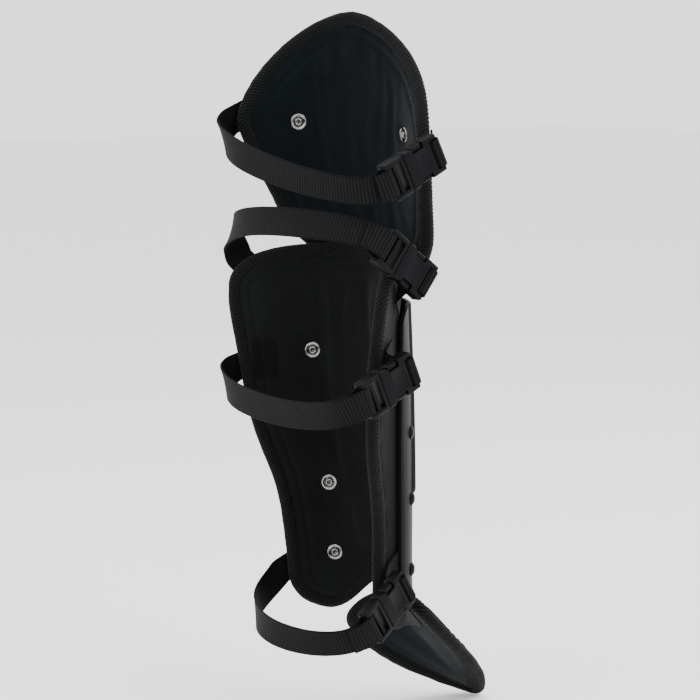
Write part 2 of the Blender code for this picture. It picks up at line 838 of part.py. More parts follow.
def build_foot(finishes):
    panel = Panel("foot", foot_place, foot_outline, 12, 8)
    panel.liner(finishes["foot_fabric"])
    panel.binding(finishes["binding"])
    plate = Panel("foot_plate", foot_place, foot_shell_outline, 10, 10)
    plate.sheet("foot_shell", foot_shell_inner, foot_shell_outer, finishes["shell"])
    build_tab(finishes)


def build_tab(finishes):
    """The hidden strip that hangs the foot flap from the shin guard."""
    low = tape_depth() - WEB_THICK / 2 + FACET_SLACK
    edge = shin_outline(0, 0)[1] - BINDING_WIDTH
    heel = foot_outline(0, 0)[1] - BINDING_WIDTH
    shares = (-1, -0.5, 0, 0.5, 1)

    def station(place, along_way):
        loop = [place(share * TAB_WIDTH / 2, along_way, low) for share in shares]
        back = [place(share * TAB_WIDTH / 2, along_way, low + WEB_THICK)
                for share in reversed(shares)]
        return loop + back

    above = [station(shin_place, edge + step) for step in (0.036, 0.018, 0.004)]
    below = [station(foot_place, heel + step) for step in (0.004, 0.012, 0.020)]
    between = []
    for share in (0.25, 0.5, 0.75):
        row = []
        for n in range(2 * len(shares)):
            lead_in = above[-1][n] + (above[-1][n] - above[-2][n]) * 0.4
            lead_out = below[0][n] + (below[0][n] - below[1][n]) * 0.8
            row.append(bezier((above[-1][n], lead_in, lead_out, below[0][n]), share))
        between.append(row)
    tube("foot_tab", above + between + below, finishes["webbing"])


def build_label(finishes):
    """A bare label sewn to the inside of the far flank, beside the binding."""
    far = -(shin_half_width(LABEL_UP) - LABEL_MARGIN)
    depth = -(GAP + LABEL_THICK)

    def outline(p, q):
        side = far + LABEL_WIDTH * (p + 1) / 2
        return side, LABEL_UP + LABEL_HEIGHT * (q - 0.5)

    patch = Panel("label", shin_place, outline, 3, 4)
    patch.sheet("label", lambda s, z: depth, lambda s, z: depth + LABEL_THICK - GAP / 2,
                finishes["label"])


def build_straps(finishes):
    for strap_row, buckle_row in zip(STRAP_ROWS, BUCKLE_ROWS):
        number, far_up, far_share, slope, lead_share, rise, reach = strap_row[:7]
        corner_up, swing_up = strap_row[7:]
        _, up, share, toe_offset, pitch, yaw, near_up, near_back = buckle_row
        knee = number == 1
        place = knee_place if knee else shin_place
        half = knee_half_width if knee else (lambda z: shin_half_width(z) + BINDING_WIDTH)
        depth = tape_depth() + FACET_SLACK
        buckle = buckle_on(place, half, share, up, toe_offset, math.radians(pitch),
                           math.radians(yaw))
        tag = "_%d" % number
        buckle_male("buckle_male" + tag, buckle, finishes["buckle"])
        buckle_female("buckle_female" + tag, buckle, finishes["buckle"])
        widest = max(half(far_up + step) for step in (-WEB_WIDTH / 2, 0, WEB_WIDTH / 2))
        tail = panel_tail(place, -(far_share * widest + EDGE_CLEAR), far_up, 1,
                          math.radians(slope), depth)
        lead = (tail[0][-1] - tail[0][-2]).normalized() * (lead_share * STRAP_LEAD)
        lead += world(0, 0, rise)
        far_edge = place(-half(far_up), far_up, 0)
        near_edge = place(half(up), up, 0)
        back = min(-far_edge.y, -near_edge.y) - reach
        corner = world(-far_edge.x * 0.85, back, corner_up)
        swing = world(-near_edge.x * 0.65, back, swing_up)
        strap("strap" + tag, tail, lead, corner, swing, buckle, finishes["webbing"])
        if number > 1:
            depth = PAD_THICK + TAIL_CLEAR + WEB_THICK / 2
        near_tail = panel_tail(place, half(near_up) - near_back, near_up, -1,
                               math.radians(pitch), depth)
        anchor("anchor" + tag, near_tail, buckle, finishes["webbing"])


def main():
    for item in list(bpy.data.objects):
        bpy.data.objects.remove(item, do_unlink=True)
    finishes = {
        "knee_fabric": material("knee_fabric", (0.012, 0.017, 0.019), 0.95),
        "shin_fabric": material("shin_fabric", (0.012, 0.014, 0.012), 0.95),
        "foot_fabric": material("foot_fabric", (0.014, 0.017, 0.019), 0.9),
        "binding": material("binding", (0.017, 0.018, 0.018), 0.85),
        "webbing": material("webbing", (0.014, 0.015, 0.016), 0.7),
        "shell": material("shell", (0.012, 0.012, 0.013), 0.25),
        "buckle": material("buckle", (0.014, 0.015, 0.017), 0.4),
        "metal": material("metal", (0.75, 0.73, 0.70), 0.22, 1.0),
        "label": material("label", (0.006, 0.006, 0.007), 0.6),
    }
    build_knee(finishes)
    build_shin(finishes)
    build_foot(finishes)
    build_label(finishes)
    build_straps(finishes)


main()
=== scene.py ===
"""The looks of a padded leg guard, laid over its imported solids."""

import math

import bmesh
import bpy
import numpy as np
from bpy.props import FloatProperty, FloatVectorProperty, PointerProperty
from mathutils import Matrix, Vector, noise
from mathutils.bvhtree import BVHTree
from mathutils.kdtree import KDTree

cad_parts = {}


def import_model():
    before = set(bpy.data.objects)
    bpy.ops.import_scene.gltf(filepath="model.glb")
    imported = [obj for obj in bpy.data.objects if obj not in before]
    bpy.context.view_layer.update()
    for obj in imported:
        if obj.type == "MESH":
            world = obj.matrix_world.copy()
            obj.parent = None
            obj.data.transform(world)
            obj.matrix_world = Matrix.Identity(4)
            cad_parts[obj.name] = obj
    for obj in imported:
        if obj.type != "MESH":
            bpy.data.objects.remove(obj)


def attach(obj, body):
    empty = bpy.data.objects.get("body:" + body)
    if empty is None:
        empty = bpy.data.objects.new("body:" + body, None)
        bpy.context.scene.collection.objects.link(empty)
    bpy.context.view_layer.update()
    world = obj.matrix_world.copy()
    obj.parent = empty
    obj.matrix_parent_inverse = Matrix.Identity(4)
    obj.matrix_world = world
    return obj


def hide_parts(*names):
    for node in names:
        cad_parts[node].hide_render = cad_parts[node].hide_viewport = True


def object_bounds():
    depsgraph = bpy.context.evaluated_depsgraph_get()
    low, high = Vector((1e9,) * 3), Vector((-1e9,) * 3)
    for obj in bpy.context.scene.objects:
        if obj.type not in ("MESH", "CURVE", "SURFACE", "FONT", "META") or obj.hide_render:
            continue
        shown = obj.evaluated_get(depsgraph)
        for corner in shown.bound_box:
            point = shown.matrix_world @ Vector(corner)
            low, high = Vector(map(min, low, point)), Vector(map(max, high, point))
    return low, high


bl_info = {
    "name": "Leg guard dresser",
    "version": (1, 0, 0),
    "blender": (4, 5, 0),
    "location": "3D View > Sidebar > Leg guard",
    "description": "Dresses the packed leg guard in padding, tape, webbing and plastic",
    "category": "Object",
}

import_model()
PACKED_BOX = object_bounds()

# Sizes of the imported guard, in metres
PAD_THICK = 0.009
TAPE_WIDTH = 0.009
TAPE_THICK = 0.0112
WEB_WIDTH = 0.025
WEB_THICK = 0.0016
GAP, WEB_SLACK = 0.0003, 0.0006
OVER_TAPE = (PAD_THICK + TAPE_THICK) / 2 + GAP
SHELL_THICK = 0.003
SHELL_STAND_OFF = 0.0047
SHIN_RISE, SHIN_DROP = 0.225, 0.122
SHIN_RADIUS, SHIN_HALF_WIDTH, SHIN_LEAN = 0.060, 0.140, 0.017
SHIN_TOP_CORNER, SHIN_HEEL_CORNER, INSTEP_RISE = 0.048, 0.030, 0.038
SHELL_TOP, SHELL_BOTTOM, SHELL_ARCH = 0.178, 0.093, 0.013
SHELL_HALF_WIDTH, SHELL_CORNER, SHELL_FOOT_SHARE = 0.081, 0.022, 0.82
RIDGE_HALF_WIDTH, RIDGE_RAISE, RIDGE_BOTTOM = 0.052, 0.003, 0.008
KNEE_TOP, KNEE_SIDE, KNEE_BOTTOM = 0.432, 0.324, 0.190
KNEE_RADIUS, KNEE_HALF_WIDTH = 0.120, 0.1180
KNEE_YAW, KNEE_ROLL = math.radians(14), math.radians(4.5)
KNEE_SHIFT, KNEE_FORWARD, KNEE_LEAN = 0.009, 0.0049, 0.040
KNEE_SHOULDER_SHARE, KNEE_SHELL_MARGIN, KNEE_SHELL_DOME = 0.48, 0.042, 0.010
ARC_SIDE, ARC_UP, ARC_RISE = 0.052, 0.362, 0.030
TAB_WIDTH = 0.022
TONGUE_WIDTH, TONGUE_DROP = 0.090, 0.120
FOOT_LENGTH, FOOT_HALF_WIDTH, FOOT_RADIUS = 0.170, 0.052, 0.060
FOOT_PITCH, FOOT_ROLL, FOOT_YAW = math.radians(44.5), math.radians(20), math.radians(-1)
FOOT_TOE, FOOT_UP, FOOT_HEEL_CORNER = 0.003, -0.102, 0.010
FOOT_SHELL_MARGIN, FOOT_SHELL_SHARE = 0.014, 0.68
FOOT_SEAM_INSET = 0.006
BOSS_LENGTH, BOSS_WIDTH, BOSS_RAISE = 0.046, 0.040, 0.005
RIVET_TURN = math.radians(49.5)
SHIN_RIVET_UPS = (0.125, 0.062, 0.001, -0.065)
KNEE_RIVET_SHARE, KNEE_RIVET_RISE = 0.521, 0.005
BUCKLE_WIDTH, BUCKLE_THICK = 0.034, 0.0115
MALE_LENGTH, FEMALE_LENGTH = 0.021, 0.037
BAR_WIDTH, SLOT_WIDTH = 0.0036, 0.0048
PRONG_WIDTH, PRONG_LENGTH, WINDOW_LENGTH = 0.0050, 0.022, 0.012
BUCKLE_CLEAR = 0.0035
STRAP_LEAD, STRAP_RUN_IN = 0.030, 0.030
ANCHOR_LEAD, TAIL_LENGTH, TAIL_CLEAR, EDGE_CLEAR = 0.004, 0.018, 0.0024, 0.003
LABEL_WIDTH, LABEL_HEIGHT, LABEL_UP, LABEL_MARGIN = 0.022, 0.036, 0.117, 0.004

# Share of the height from the foot, share of the radius, flank angle in degrees, share of
# the half width, share of the lean
SHIN_ROWS = (
    (0.000, 0.917, 74, 0.655, 0.18),
    (0.155, 0.917, 72, 0.668, 0.10),
    (0.344, 1.000, 68, 0.731, 0.00),
    (0.519, 1.100, 63, 0.874, -0.18),
    (0.694, 1.200, 58, 0.945, -0.42),
    (0.880, 1.283, 49, 1.000, -0.70),
    (1.000, 1.330, 45, 0.985, -0.88),
)
# Share of the way to the widest height, share of the half width
KNEE_ROWS = ((0.00, 0.60), (0.30, 0.725), (0.55, 0.810), (0.80, 0.925), (1.00, 1.00))
# Share of the height, share of the lean
KNEE_LEAN_ROWS = ((0.00, 0.00), (0.18, -0.14), (0.40, -0.42), (0.58, -0.56), (0.80, -0.66),
                  (1.00, -0.98))
# Share of the length, share of the half width
FOOT_ROWS = ((0.00, 0.90), (0.25, 1.00), (0.55, 0.84), (0.80, 0.53), (1.00, 0.26))
# Strap number, far tail height, share of the half width, slope in degrees, share of the
# lead, rise, reach, corner and swing heights
STRAP_ROWS = (
    (1, 0.3245, 1.000, 30, 0.45, -0.006, 0.050, 0.308, 0.288),
    (2, 0.2090, 0.895, -45, 0.15, 0.020, 0.048, 0.262, 0.252),
    (3, 0.1070, 1.000, 20, 0.60, -0.008, 0.044, 0.090, 0.077),
    (4, -0.0830, 1.000, 28, 0.90, -0.016, 0.084, -0.112, -0.119),
)
# Strap number, height, share of the half width, toe offset, pitch and yaw in degrees,
# near tail's height and how far it is from the edge
BUCKLE_ROWS = (
    (1, 0.3005, 1.00, -0.040, 27, 4, 0.319, 0.000),
    (2, 0.218, 0.775, -0.001, -38, 4, 0.192, 0.050),
    (3, 0.1185, 1.00, -0.003, 23.5, -1, 0.134, 0.016),
    (4, -0.083, 1.00, -0.009, 30.5, -12, -0.061, 0.017),
)


# Curves

def world(near, toe, up):
    """A point from its distances towards the buckles, the toes and the knee."""
    return Vector((-near, -toe, up))


def mix(a, b, share):
    return a + (b - a) * share


def ease(low, high, value):
    t = min(1.0, max(0.0, (value - low) / (high - low)))
    return t * t * (3 - 2 * t)


def along(rows, t, column):
    """The value in a column at t, on a smooth curve through the rows."""
    if t <= rows[0][0]:
        return rows[0][column]
    if t >= rows[-1][0]:
        return rows[-1][column]
    k = max(i for i in range(len(rows) - 1) if rows[i][0] <= t)
    a, b = rows[k], rows[k + 1]
    before, after = rows[max(k - 1, 0)], rows[min(k + 2, len(rows) - 1)]
    span = b[0] - a[0]
    slope_a = (b[column] - before[column]) / (b[0] - before[0]) * span
    slope_b = (after[column] - a[column]) / (after[0] - a[0]) * span
    x = (t - a[0]) / span
    return (a[column] * (2 * x ** 3 - 3 * x ** 2 + 1) + slope_a * (x ** 3 - 2 * x ** 2 + x)
            + b[column] * (3 * x ** 2 - 2 * x ** 3) + slope_b * (x ** 3 - x ** 2))


def bezier(points, t):
    points = list(points)
    while len(points) > 1:
        points = [a.lerp(b, t) for a, b in zip(points, points[1:])]
    return points[0]


def round_drop(p, power):
    """How far a rounded end has fallen at p, from 0 in the middle to 1 at the side."""
    return 1 - (1 - min(1.0, abs(p)) ** power) ** (1 / power)


def bend(side, radius, flank, depth):
    arc = radius * flank
    reach = abs(side)
    turn = min(reach, arc) / radius
    straight = max(0.0, reach - arc)
    near = (radius + depth) * math.sin(turn) + straight * math.cos(turn)
    toe = (radius + depth) * math.cos(turn) - radius - straight * math.sin(turn)
    return math.copysign(near, side), toe


def unbend(near, toe, radius, flank):
    """The side and depth of a bent point."""
    reach, out = abs(near), toe + radius
    if math.atan2(reach, out) <= flank:
        side, depth = radius * math.atan2(reach, out), math.hypot(reach, out) - radius
    else:
        side = radius * flank + reach * math.cos(flank) - out * math.sin(flank)
        depth = reach * math.sin(flank) + out * math.cos(flank) - radius
    return math.copysign(side, near), depth


# The three panels, each a flat pattern bent round the leg

class ShinPattern:
    """The shin guard's padding."""

    @staticmethod
    def row(up, column):
        return along(SHIN_ROWS, (up + SHIN_DROP) / (SHIN_RISE + SHIN_DROP), column)

    @classmethod
    def place(cls, side, up, depth):
        near, toe = bend(side, SHIN_RADIUS * cls.row(up, 1), math.radians(cls.row(up, 2)),
                         depth)
        return world(near, toe + SHIN_LEAN * cls.row(up, 4), up)

    @classmethod
    def unplace(cls, point):
        up = point.z
        side, depth = unbend(-point.x, -point.y - SHIN_LEAN * cls.row(up, 4),
                             SHIN_RADIUS * cls.row(up, 1), math.radians(cls.row(up, 2)))
        return side, up, depth

    @classmethod
    def half_width(cls, up):
        return SHIN_HALF_WIDTH * cls.row(up, 3)

    @classmethod
    def outline(cls, p, q):
        top = SHIN_RISE - TAPE_WIDTH - SHIN_TOP_CORNER * round_drop(p, 3.2)
        instep = INSTEP_RISE * (1 - ease(0.0, 0.66, abs(p)))
        heel = SHIN_HEEL_CORNER * round_drop(max(0.0, abs(p) - 0.5) / 0.5, 2.0)
        up = mix(-SHIN_DROP + TAPE_WIDTH + instep + heel, top, q)
        return p * (cls.half_width(up) - TAPE_WIDTH), up


class KneePattern:
    """The knee panel's padding."""

    @staticmethod
    def lean(up):
        share = (up - KNEE_BOTTOM) / (KNEE_TOP - KNEE_BOTTOM)
        return KNEE_FORWARD + KNEE_LEAN * along(KNEE_LEAN_ROWS, share, 1)

    @classmethod
    def place(cls, side, up, depth):
        near, toe = bend(side, KNEE_RADIUS, math.radians(80), depth)
        toe += cls.lean(up)
        turned_near = near * math.cos(KNEE_YAW) - toe * math.sin(KNEE_YAW)
        turned_toe = near * math.sin(KNEE_YAW) + toe * math.cos(KNEE_YAW)
        return world(turned_near - KNEE_SHIFT, turned_toe, up - near * math.tan(KNEE_ROLL))

    @classmethod
    def unplace(cls, point):
        near, toe = -point.x + KNEE_SHIFT, -point.y
        flat_near = near * math.cos(KNEE_YAW) + toe * math.sin(KNEE_YAW)
        flat_toe = toe * math.cos(KNEE_YAW) - near * math.sin(KNEE_YAW)
        up = point.z + flat_near * math.tan(KNEE_ROLL)
        side, depth = unbend(flat_near, flat_toe - cls.lean(up), KNEE_RADIUS,
                             math.radians(80))
        return side, up, depth

    @classmethod
    def half_width(cls, up):
        share = (up - KNEE_BOTTOM) / (KNEE_SIDE - KNEE_BOTTOM)
        return KNEE_HALF_WIDTH * along(KNEE_ROWS, share, 1)

    @classmethod
    def outline(cls, p, q, margin=TAPE_WIDTH):
        top = mix(KNEE_TOP - margin, KNEE_SIDE, round_drop(p, 1.55))
        shoulder = mix(KNEE_BOTTOM, KNEE_SIDE, KNEE_SHOULDER_SHARE)
        bottom = mix(KNEE_BOTTOM + margin, shoulder, round_drop(p, 2.2))
        up = mix(bottom, top, q)
        return p * (cls.half_width(up) - margin), up


class FootPattern:
    """The foot flap's padding."""

    turn = (Matrix.Translation(world(0, FOOT_TOE, FOOT_UP))
            @ Matrix.Rotation(FOOT_YAW, 4, "Z") @ Matrix.Rotation(FOOT_PITCH, 4, "X")
            @ Matrix.Rotation(FOOT_ROLL, 4, "Y"))

    @classmethod
    def place(cls, side, forward, depth):
        near, rise = bend(side, FOOT_RADIUS, math.radians(80), depth)
        return cls.turn @ Vector((-near, -forward, rise))

    @classmethod
    def unplace(cls, point):
        flat = cls.turn.inverted() @ point
        side, depth = unbend(-flat.x, flat.z, FOOT_RADIUS, math.radians(80))
        return side, -flat.y, depth

    @classmethod
    def outline(cls, p, q, margin=TAPE_WIDTH):
        heel = margin + FOOT_HEEL_CORNER * round_drop(p, 2.2)
        tip = FOOT_LENGTH - margin - 0.030 * round_drop(p, 2.0)
        forward = mix(heel, tip, q)
        half = FOOT_HALF_WIDTH * along(FOOT_ROWS, forward / FOOT_LENGTH, 1) - margin
        return p * half, forward


def flat_grid(outline, columns, rows):
    """Flat places over a pattern, closer together towards its edges."""
    places = []
    for j in range(rows + 1):
        m = 2 * j / rows - 1
        q = 0.5 + 0.5 * (m + 0.4 * math.sin(math.pi * m) / math.pi)
        for i in range(columns + 1):
            k = 2 * i / columns - 1
            places.append(outline(k + 0.6 * math.sin(math.pi * k) / math.pi, q))
    return places


def even_loop(points, step):
    """A closed flat loop again, with its points at even distances."""
    closed = points + points[:1]
    lengths = [0.0]
    for a, b in zip(closed, closed[1:]):
        lengths.append(lengths[-1] + math.hypot(b[0] - a[0], b[1] - a[1]))
    count = max(8, round(lengths[-1] / step))
    return [(float(np.interp(lengths[-1] * n / count, lengths, [c[0] for c in closed])),
             float(np.interp(lengths[-1] * n / count, lengths, [c[1] for c in closed])))
            for n in range(count)]


def rim_loop(outline, step):
    """A pattern's edge as an even loop, with the way out of the panel at each point."""
    fine = 160
    edge = ([outline(2 * n / fine - 1, 0) for n in range(fine)]
            + [outline(1, n / fine) for n in range(fine)]
            + [outline(1 - 2 * n / fine, 1) for n in range(fine)]
            + [outline(-1, 1 - n / fine) for n in range(fine)])
    loop = even_loop(edge, step)
    ways = []
    reach = max(1, round(0.004 / step))
    for n in range(len(loop)):
        before, after = loop[n - reach], loop[(n + reach) % len(loop)]
        length = math.hypot(after[0] - before[0], after[1] - before[1])
        ways.append(((after[1] - before[1]) / length, -(after[0] - before[0]) / length))
    return loop, ways


# Making and finishing pieces

def clear_selection():
    if bpy.context.object and bpy.context.object.mode != "OBJECT":
        bpy.ops.object.mode_set(mode="OBJECT")
    bpy.ops.object.select_all(action="DESELECT")


def take(piece):
    """Makes this the only selected object."""
    clear_selection()
    piece.select_set(True)
    bpy.context.view_layer.objects.active = piece


def apply_all(piece):
    take(piece)
    for item in list(piece.modifiers):
        bpy.ops.object.modifier_apply(modifier=item.name)


def smooth(piece, angle=40):
    take(piece)
    bpy.ops.object.shade_smooth_by_angle(angle=math.radians(angle))


def dress(piece, finish, slot, *nodes):
    """Gives a piece its finish and says what it rides on and stands for."""
    piece.data.materials.clear()
    piece.data.materials.append(finish)
    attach(piece, "root")
    if nodes:
        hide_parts(*nodes)
    return piece


def mesh_piece(name, points, faces, uvs=None):
    """A closed mesh piece with its faces outwards, and a UV for each point."""
    mesh = bpy.data.meshes.new(name)
    mesh.from_pydata([tuple(point) for point in points], [], faces)
    if uvs:
        layer = mesh.uv_layers.new(name="UVMap")
        for loop in mesh.loops:
            layer.data[loop.index].uv = uvs[loop.vertex_index]
    work = bmesh.new()
    work.from_mesh(mesh)
    bmesh.ops.recalc_face_normals(work, faces=work.faces)
    work.to_mesh(mesh)
    work.free()
    piece = bpy.data.objects.new(name, mesh)
    bpy.context.scene.collection.objects.link(piece)
    for face in mesh.polygons:
        face.use_smooth = True
    return piece


def primitive(name):
    """Names the primitive that was just added."""
    piece = bpy.context.object
    piece.name = name
    piece.data.name = name
    return piece


def move_mesh(piece, matrix):
    """Puts a piece's place into its mesh, with its object at the origin."""
    piece.data.transform(matrix)
    piece.matrix_world = Matrix.Identity(4)
    piece.data.update()


def copy_piece(piece, name, matrix):
    twin = bpy.data.objects.new(name, piece.data.copy())
    twin.data.name = name
    bpy.context.scene.collection.objects.link(twin)
    move_mesh(twin, matrix)
    return twin


def join(name, pieces):
    clear_selection()
    for piece in pieces:
        piece.select_set(True)
    bpy.context.view_layer.objects.active = pieces[0]
    if len(pieces) > 1:
        bpy.ops.object.join()
    return primitive(name)


# Materials: sums on sockets are written as plain expressions

WAVE_SCALE = math.pi / 10       # one wave for each unit of the coordinates


class Wire:
    """A node's output, for sums with numbers and other outputs."""

    def __init__(self, finish, socket):
        self.finish = finish
        self.socket = socket

    def sum(self, operation, first, second):
        return self.finish.node("ShaderNodeMath", {"operation": operation},
                                {0: first, 1: second})

    def __add__(self, other):
        return self.sum("ADD", self, other)

    __radd__ = __add__

    def __mul__(self, other):
        return self.sum("MULTIPLY", self, other)

    __rmul__ = __mul__

    def __sub__(self, other):
        return self.sum("SUBTRACT", self, other)

    def __rsub__(self, other):
        return self.sum("SUBTRACT", other, self)


class Finish:
    """A material, its shader and one way of adding any other node."""

    def __init__(self, name, roughness, metallic=0.0, sheen=0.0, specular=0.5):
        self.made = bpy.data.materials.new(name)
        self.made.use_nodes = True
        self.tree = self.made.node_tree
        self.shader = self.tree.nodes["Principled BSDF"]
        self.shader.inputs["Roughness"].default_value = roughness
        self.shader.inputs["Metallic"].default_value = metallic
        self.shader.inputs["Sheen Weight"].default_value = sheen
        self.shader.inputs["Sheen Roughness"].default_value = 0.45
        self.shader.inputs["Specular IOR Level"].default_value = specular

    def node(self, kind, settings, values, out=0):
        made = self.tree.nodes.new(kind)
        for key, value in settings.items():
            setattr(made, key, value)
        for key, value in values.items():
            if isinstance(value, Wire):
                self.tree.links.new(value.socket, made.inputs[key])
            else:
                made.inputs[key].default_value = value
        return Wire(self, made.outputs[out])

    def spot(self, source, scale=(1, 1, 1), turn=(0, 0, 0)):
        """Object or UV coordinates, scaled and turned."""
        start = self.node("ShaderNodeTexCoord", {}, {}, out=source)
        return self.node("ShaderNodeMapping", {},
                         {"Vector": start, "Scale": scale, "Rotation": turn})

    def marked(self, name):
        """The number that a piece's own mesh carries under this name."""
        return self.node("ShaderNodeAttribute", {"attribute_name": name}, {}, out="Fac")

    def noise(self, spot, scale, detail=3.0, rough=0.5):
        return self.node("ShaderNodeTexNoise", {},
                         {"Vector": spot, "Scale": scale, "Detail": detail,
                          "Roughness": rough})

    def wave(self, spot, axis, warp):
        """Waves one unit apart along an axis of the coordinates."""
        return self.node("ShaderNodeTexWave",
                         {"wave_type": "BANDS", "bands_direction": axis},
                         {"Vector": spot, "Scale": WAVE_SCALE, "Distortion": warp,
                          "Detail": 1.0, "Detail Scale": 2.0})

    def blend(self, share, first, second):
        """A colour between two, or a blend of two colour links."""
        values = {"Factor": share}
        for key, colour in (("A", first), ("B", second)):
            values[key] = colour if isinstance(colour, Wire) else (*colour, 1.0)
        made = self.tree.nodes.new("ShaderNodeMix")
        made.data_type = "RGBA"
        for key, value in values.items():
            socket = next(s for s in made.inputs if s.name == key
                          and s.type == ("VALUE" if key == "Factor" else "RGBA"))
            if isinstance(value, Wire):
                self.tree.links.new(value.socket, socket)
            else:
                socket.default_value = value
        return Wire(self, next(s for s in made.outputs if s.type == "RGBA"))

    def bump(self, *layers):
        """Bumps on one another, each a height, a distance in metres and a strength."""
        under = None
        for height, distance, strength in layers:
            values = {"Height": height, "Distance": distance, "Strength": strength}
            if under:
                values["Normal"] = under
            under = self.node("ShaderNodeBump", {}, values)
        self.set("Normal", under)

    def set(self, socket, value):
        if isinstance(value, Wire):
            self.tree.links.new(value.socket, self.shader.inputs[socket])
        elif socket == "Base Color":
            self.shader.inputs[socket].default_value = (*value, 1.0)
        else:
            self.shader.inputs[socket].default_value = value


TWILL_PITCH, TWILL_SLANT = 0.0024, math.radians(35)
YARN_LENGTH, YARN_WIDTH = 0.0009, 0.0011


def cloth_finish(name, dark, light, weave, weave_height, fuzz, sheen=0.08, roughness=0.92):
    """Brushed or woven cloth over foam, with its threads on the pattern's own UV."""
    finish = Finish(name, roughness, sheen=sheen, specular=0.05)
    threads = finish.spot("UV", (1 / weave, 1 / weave, 1))
    across = finish.wave(threads, "X", 1.2)
    up = finish.wave(threads, "Y", 1.2)
    cloth = across * up
    here = finish.spot("Object")
    patches = finish.noise(here, 26, 4)
    fluff = finish.noise(here, 900, 3, 0.7)
    shade = patches * 0.55 + fluff * 0.5 + cloth * 0.18 - 0.12
    finish.set("Base Color", finish.blend(shade, dark, light))
    finish.set("Roughness", fluff * 0.12 + (roughness - 0.06))
    finish.bump((cloth, weave_height, 0.6), (fluff, fuzz, 0.7),
                (finish.noise(here, 90, 3), 0.0006, 0.35))
    return finish.made


def tape_finish(name, dark, light):
    """Twill edge tape: fine slanted ridges along the tape, with a painted highlight on each
    ridge and painted shade between them.
    """
    finish = Finish(name, 0.8, sheen=0.03, specular=0.07)
    slant = finish.spot("UV", (1 / TWILL_PITCH, 1 / TWILL_PITCH, 1), (0, 0, TWILL_SLANT))
    ridges = finish.wave(slant, "X", 0.6)
    here = finish.spot("Object")
    fluff = finish.noise(here, 1100, 2, 0.6)
    # The ridges are painted lighter and the grooves between them darker: painted highlight and
    # painted shade on the twill.
    shade = ridges * 0.85 + fluff * 0.35 + finish.noise(here, 30, 3) * 0.3 - 0.25
    finish.set("Base Color", finish.blend(shade, dark, light))
    finish.set("Roughness", fluff * 0.15 + 0.72)
    finish.bump((ridges, 0.0006, 0.9), (fluff, 0.00012, 0.6))
    return finish.made


def webbing_finish(name, dark, light):
    """Nylon webbing: fine yarns along the strap, with a painted highlight on the tops of its
    ribs and painted shade between them.
    """
    finish = Finish(name, 0.62, sheen=0.02, specular=0.04)
    yarns = finish.spot("UV", (1 / YARN_LENGTH, 1 / YARN_WIDTH, 1))
    lengthways = finish.wave(yarns, "Y", 1.0)
    crossways = finish.wave(yarns, "X", 1.0)
    # The rib attribute paints the rib tops lighter, a painted highlight, and the gaps between
    # ribs darker, painted shade.
    rib = finish.marked("rib")
    fluff = finish.noise(finish.spot("Object"), 1300, 2, 0.6)
    shade = rib * 0.85 + lengthways * 0.2 + crossways * 0.12 + fluff * 0.3 - 0.16
    finish.set("Base Color", finish.blend(shade, dark, light))
    finish.set("Roughness", fluff * 0.14 + 0.54)
    finish.bump((lengthways * crossways, 0.00018, 0.7), (fluff, 0.0001, 0.5))
    return finish.made


def gloss_finish(name, colour):
    """Glossy moulded plastic with faint waves, dust and fine scratches."""
    finish = Finish(name, 0.36, specular=0.018)
    here = finish.spot("Object")
    dust = finish.noise(here, 60, 5, 0.65)
    scratches = finish.noise(finish.spot("Object", (900, 900, 40), (0.4, 0.2, 0.9)), 1, 2)
    finish.set("Base Color", finish.blend(dust * 0.5, colour, (0.016, 0.016, 0.017)))
    finish.set("Roughness", dust * 0.14 + scratches * 0.08 + 0.24)
    finish.bump((finish.noise(here, 18, 2), 0.0012, 0.25), (scratches, 0.00004, 0.3))
    return finish.made


def satin_finish(name, dark, light):
    """Satin moulded plastic with a spark-eroded grain."""
    finish = Finish(name, 0.42, specular=0.08)
    here = finish.spot("Object")
    grain = finish.noise(here, 2200, 2, 0.6)
    wear = finish.noise(here, 160, 4, 0.6)
    finish.set("Base Color", finish.blend(wear * 0.7 + grain * 0.2, dark, light))
    finish.set("Roughness", wear * 0.16 + grain * 0.1 + 0.3)
    finish.bump((grain, 0.00005, 0.6))
    return finish.made


def metal_finish(name):
    """Nickel-plated steel, with painted shade in the washer's marked eye and groove, and random
    duller patches.
    """
    finish = Finish(name, 0.24, metallic=1.0)
    here = finish.spot("Object")
    dull = finish.noise(here, 640, 4, 0.6)
    # The washer's marked eye and groove are painted darker: painted shade where the real
    # washer's sunken rings catch less light.
    plating_and_hollow_shade = 1.25 - dull * 1.3 - finish.marked("hollow_shade") * 0.6
    finish.set("Base Color", finish.blend(plating_and_hollow_shade, (0.030, 0.030, 0.028), (0.42, 0.41, 0.395)))
    finish.set("Roughness", dull * 0.2 + 0.08)
    finish.bump((finish.noise(here, 1500, 2), 0.00003, 0.5))
    return finish.made


def pile_finish(name):
    """The loop side of hook-and-loop tape."""
    finish = Finish(name, 0.95, sheen=0.1, specular=0.1)
    here = finish.spot("Object")
    loops = finish.noise(here, 1500, 3, 0.8)
    clumps = finish.noise(here, 260, 3, 0.6)
    finish.set("Base Color", finish.blend(loops * 0.6 + clumps * 0.4, (0.001, 0.001, 0.0012),
                                          (0.013, 0.014, 0.016)))
    finish.bump((loops, 0.0008, 0.9), (clumps, 0.0012, 0.7))
    return finish.made


def thread_finish(name, colour):
    finish = Finish(name, 0.6, sheen=0.02, specular=0.08)
    twist = finish.noise(finish.spot("Object"), 2400, 2)
    finish.set("Base Color", finish.blend(twist, colour, tuple(c * 2.2 for c in colour)))
    finish.bump((twist, 0.0001, 0.6))
    return finish.made


def plain_finish(name, colour):
    """A pale matt floor with the faintest mottling."""
    finish = Finish(name, 0.9, specular=0.2)
    cloud = finish.noise(finish.spot("Object"), 0.6, 2)
    finish.set("Base Color", finish.blend(cloud, colour, tuple(c * 0.985 for c in colour)))
    return finish.made


FINISHES = {}


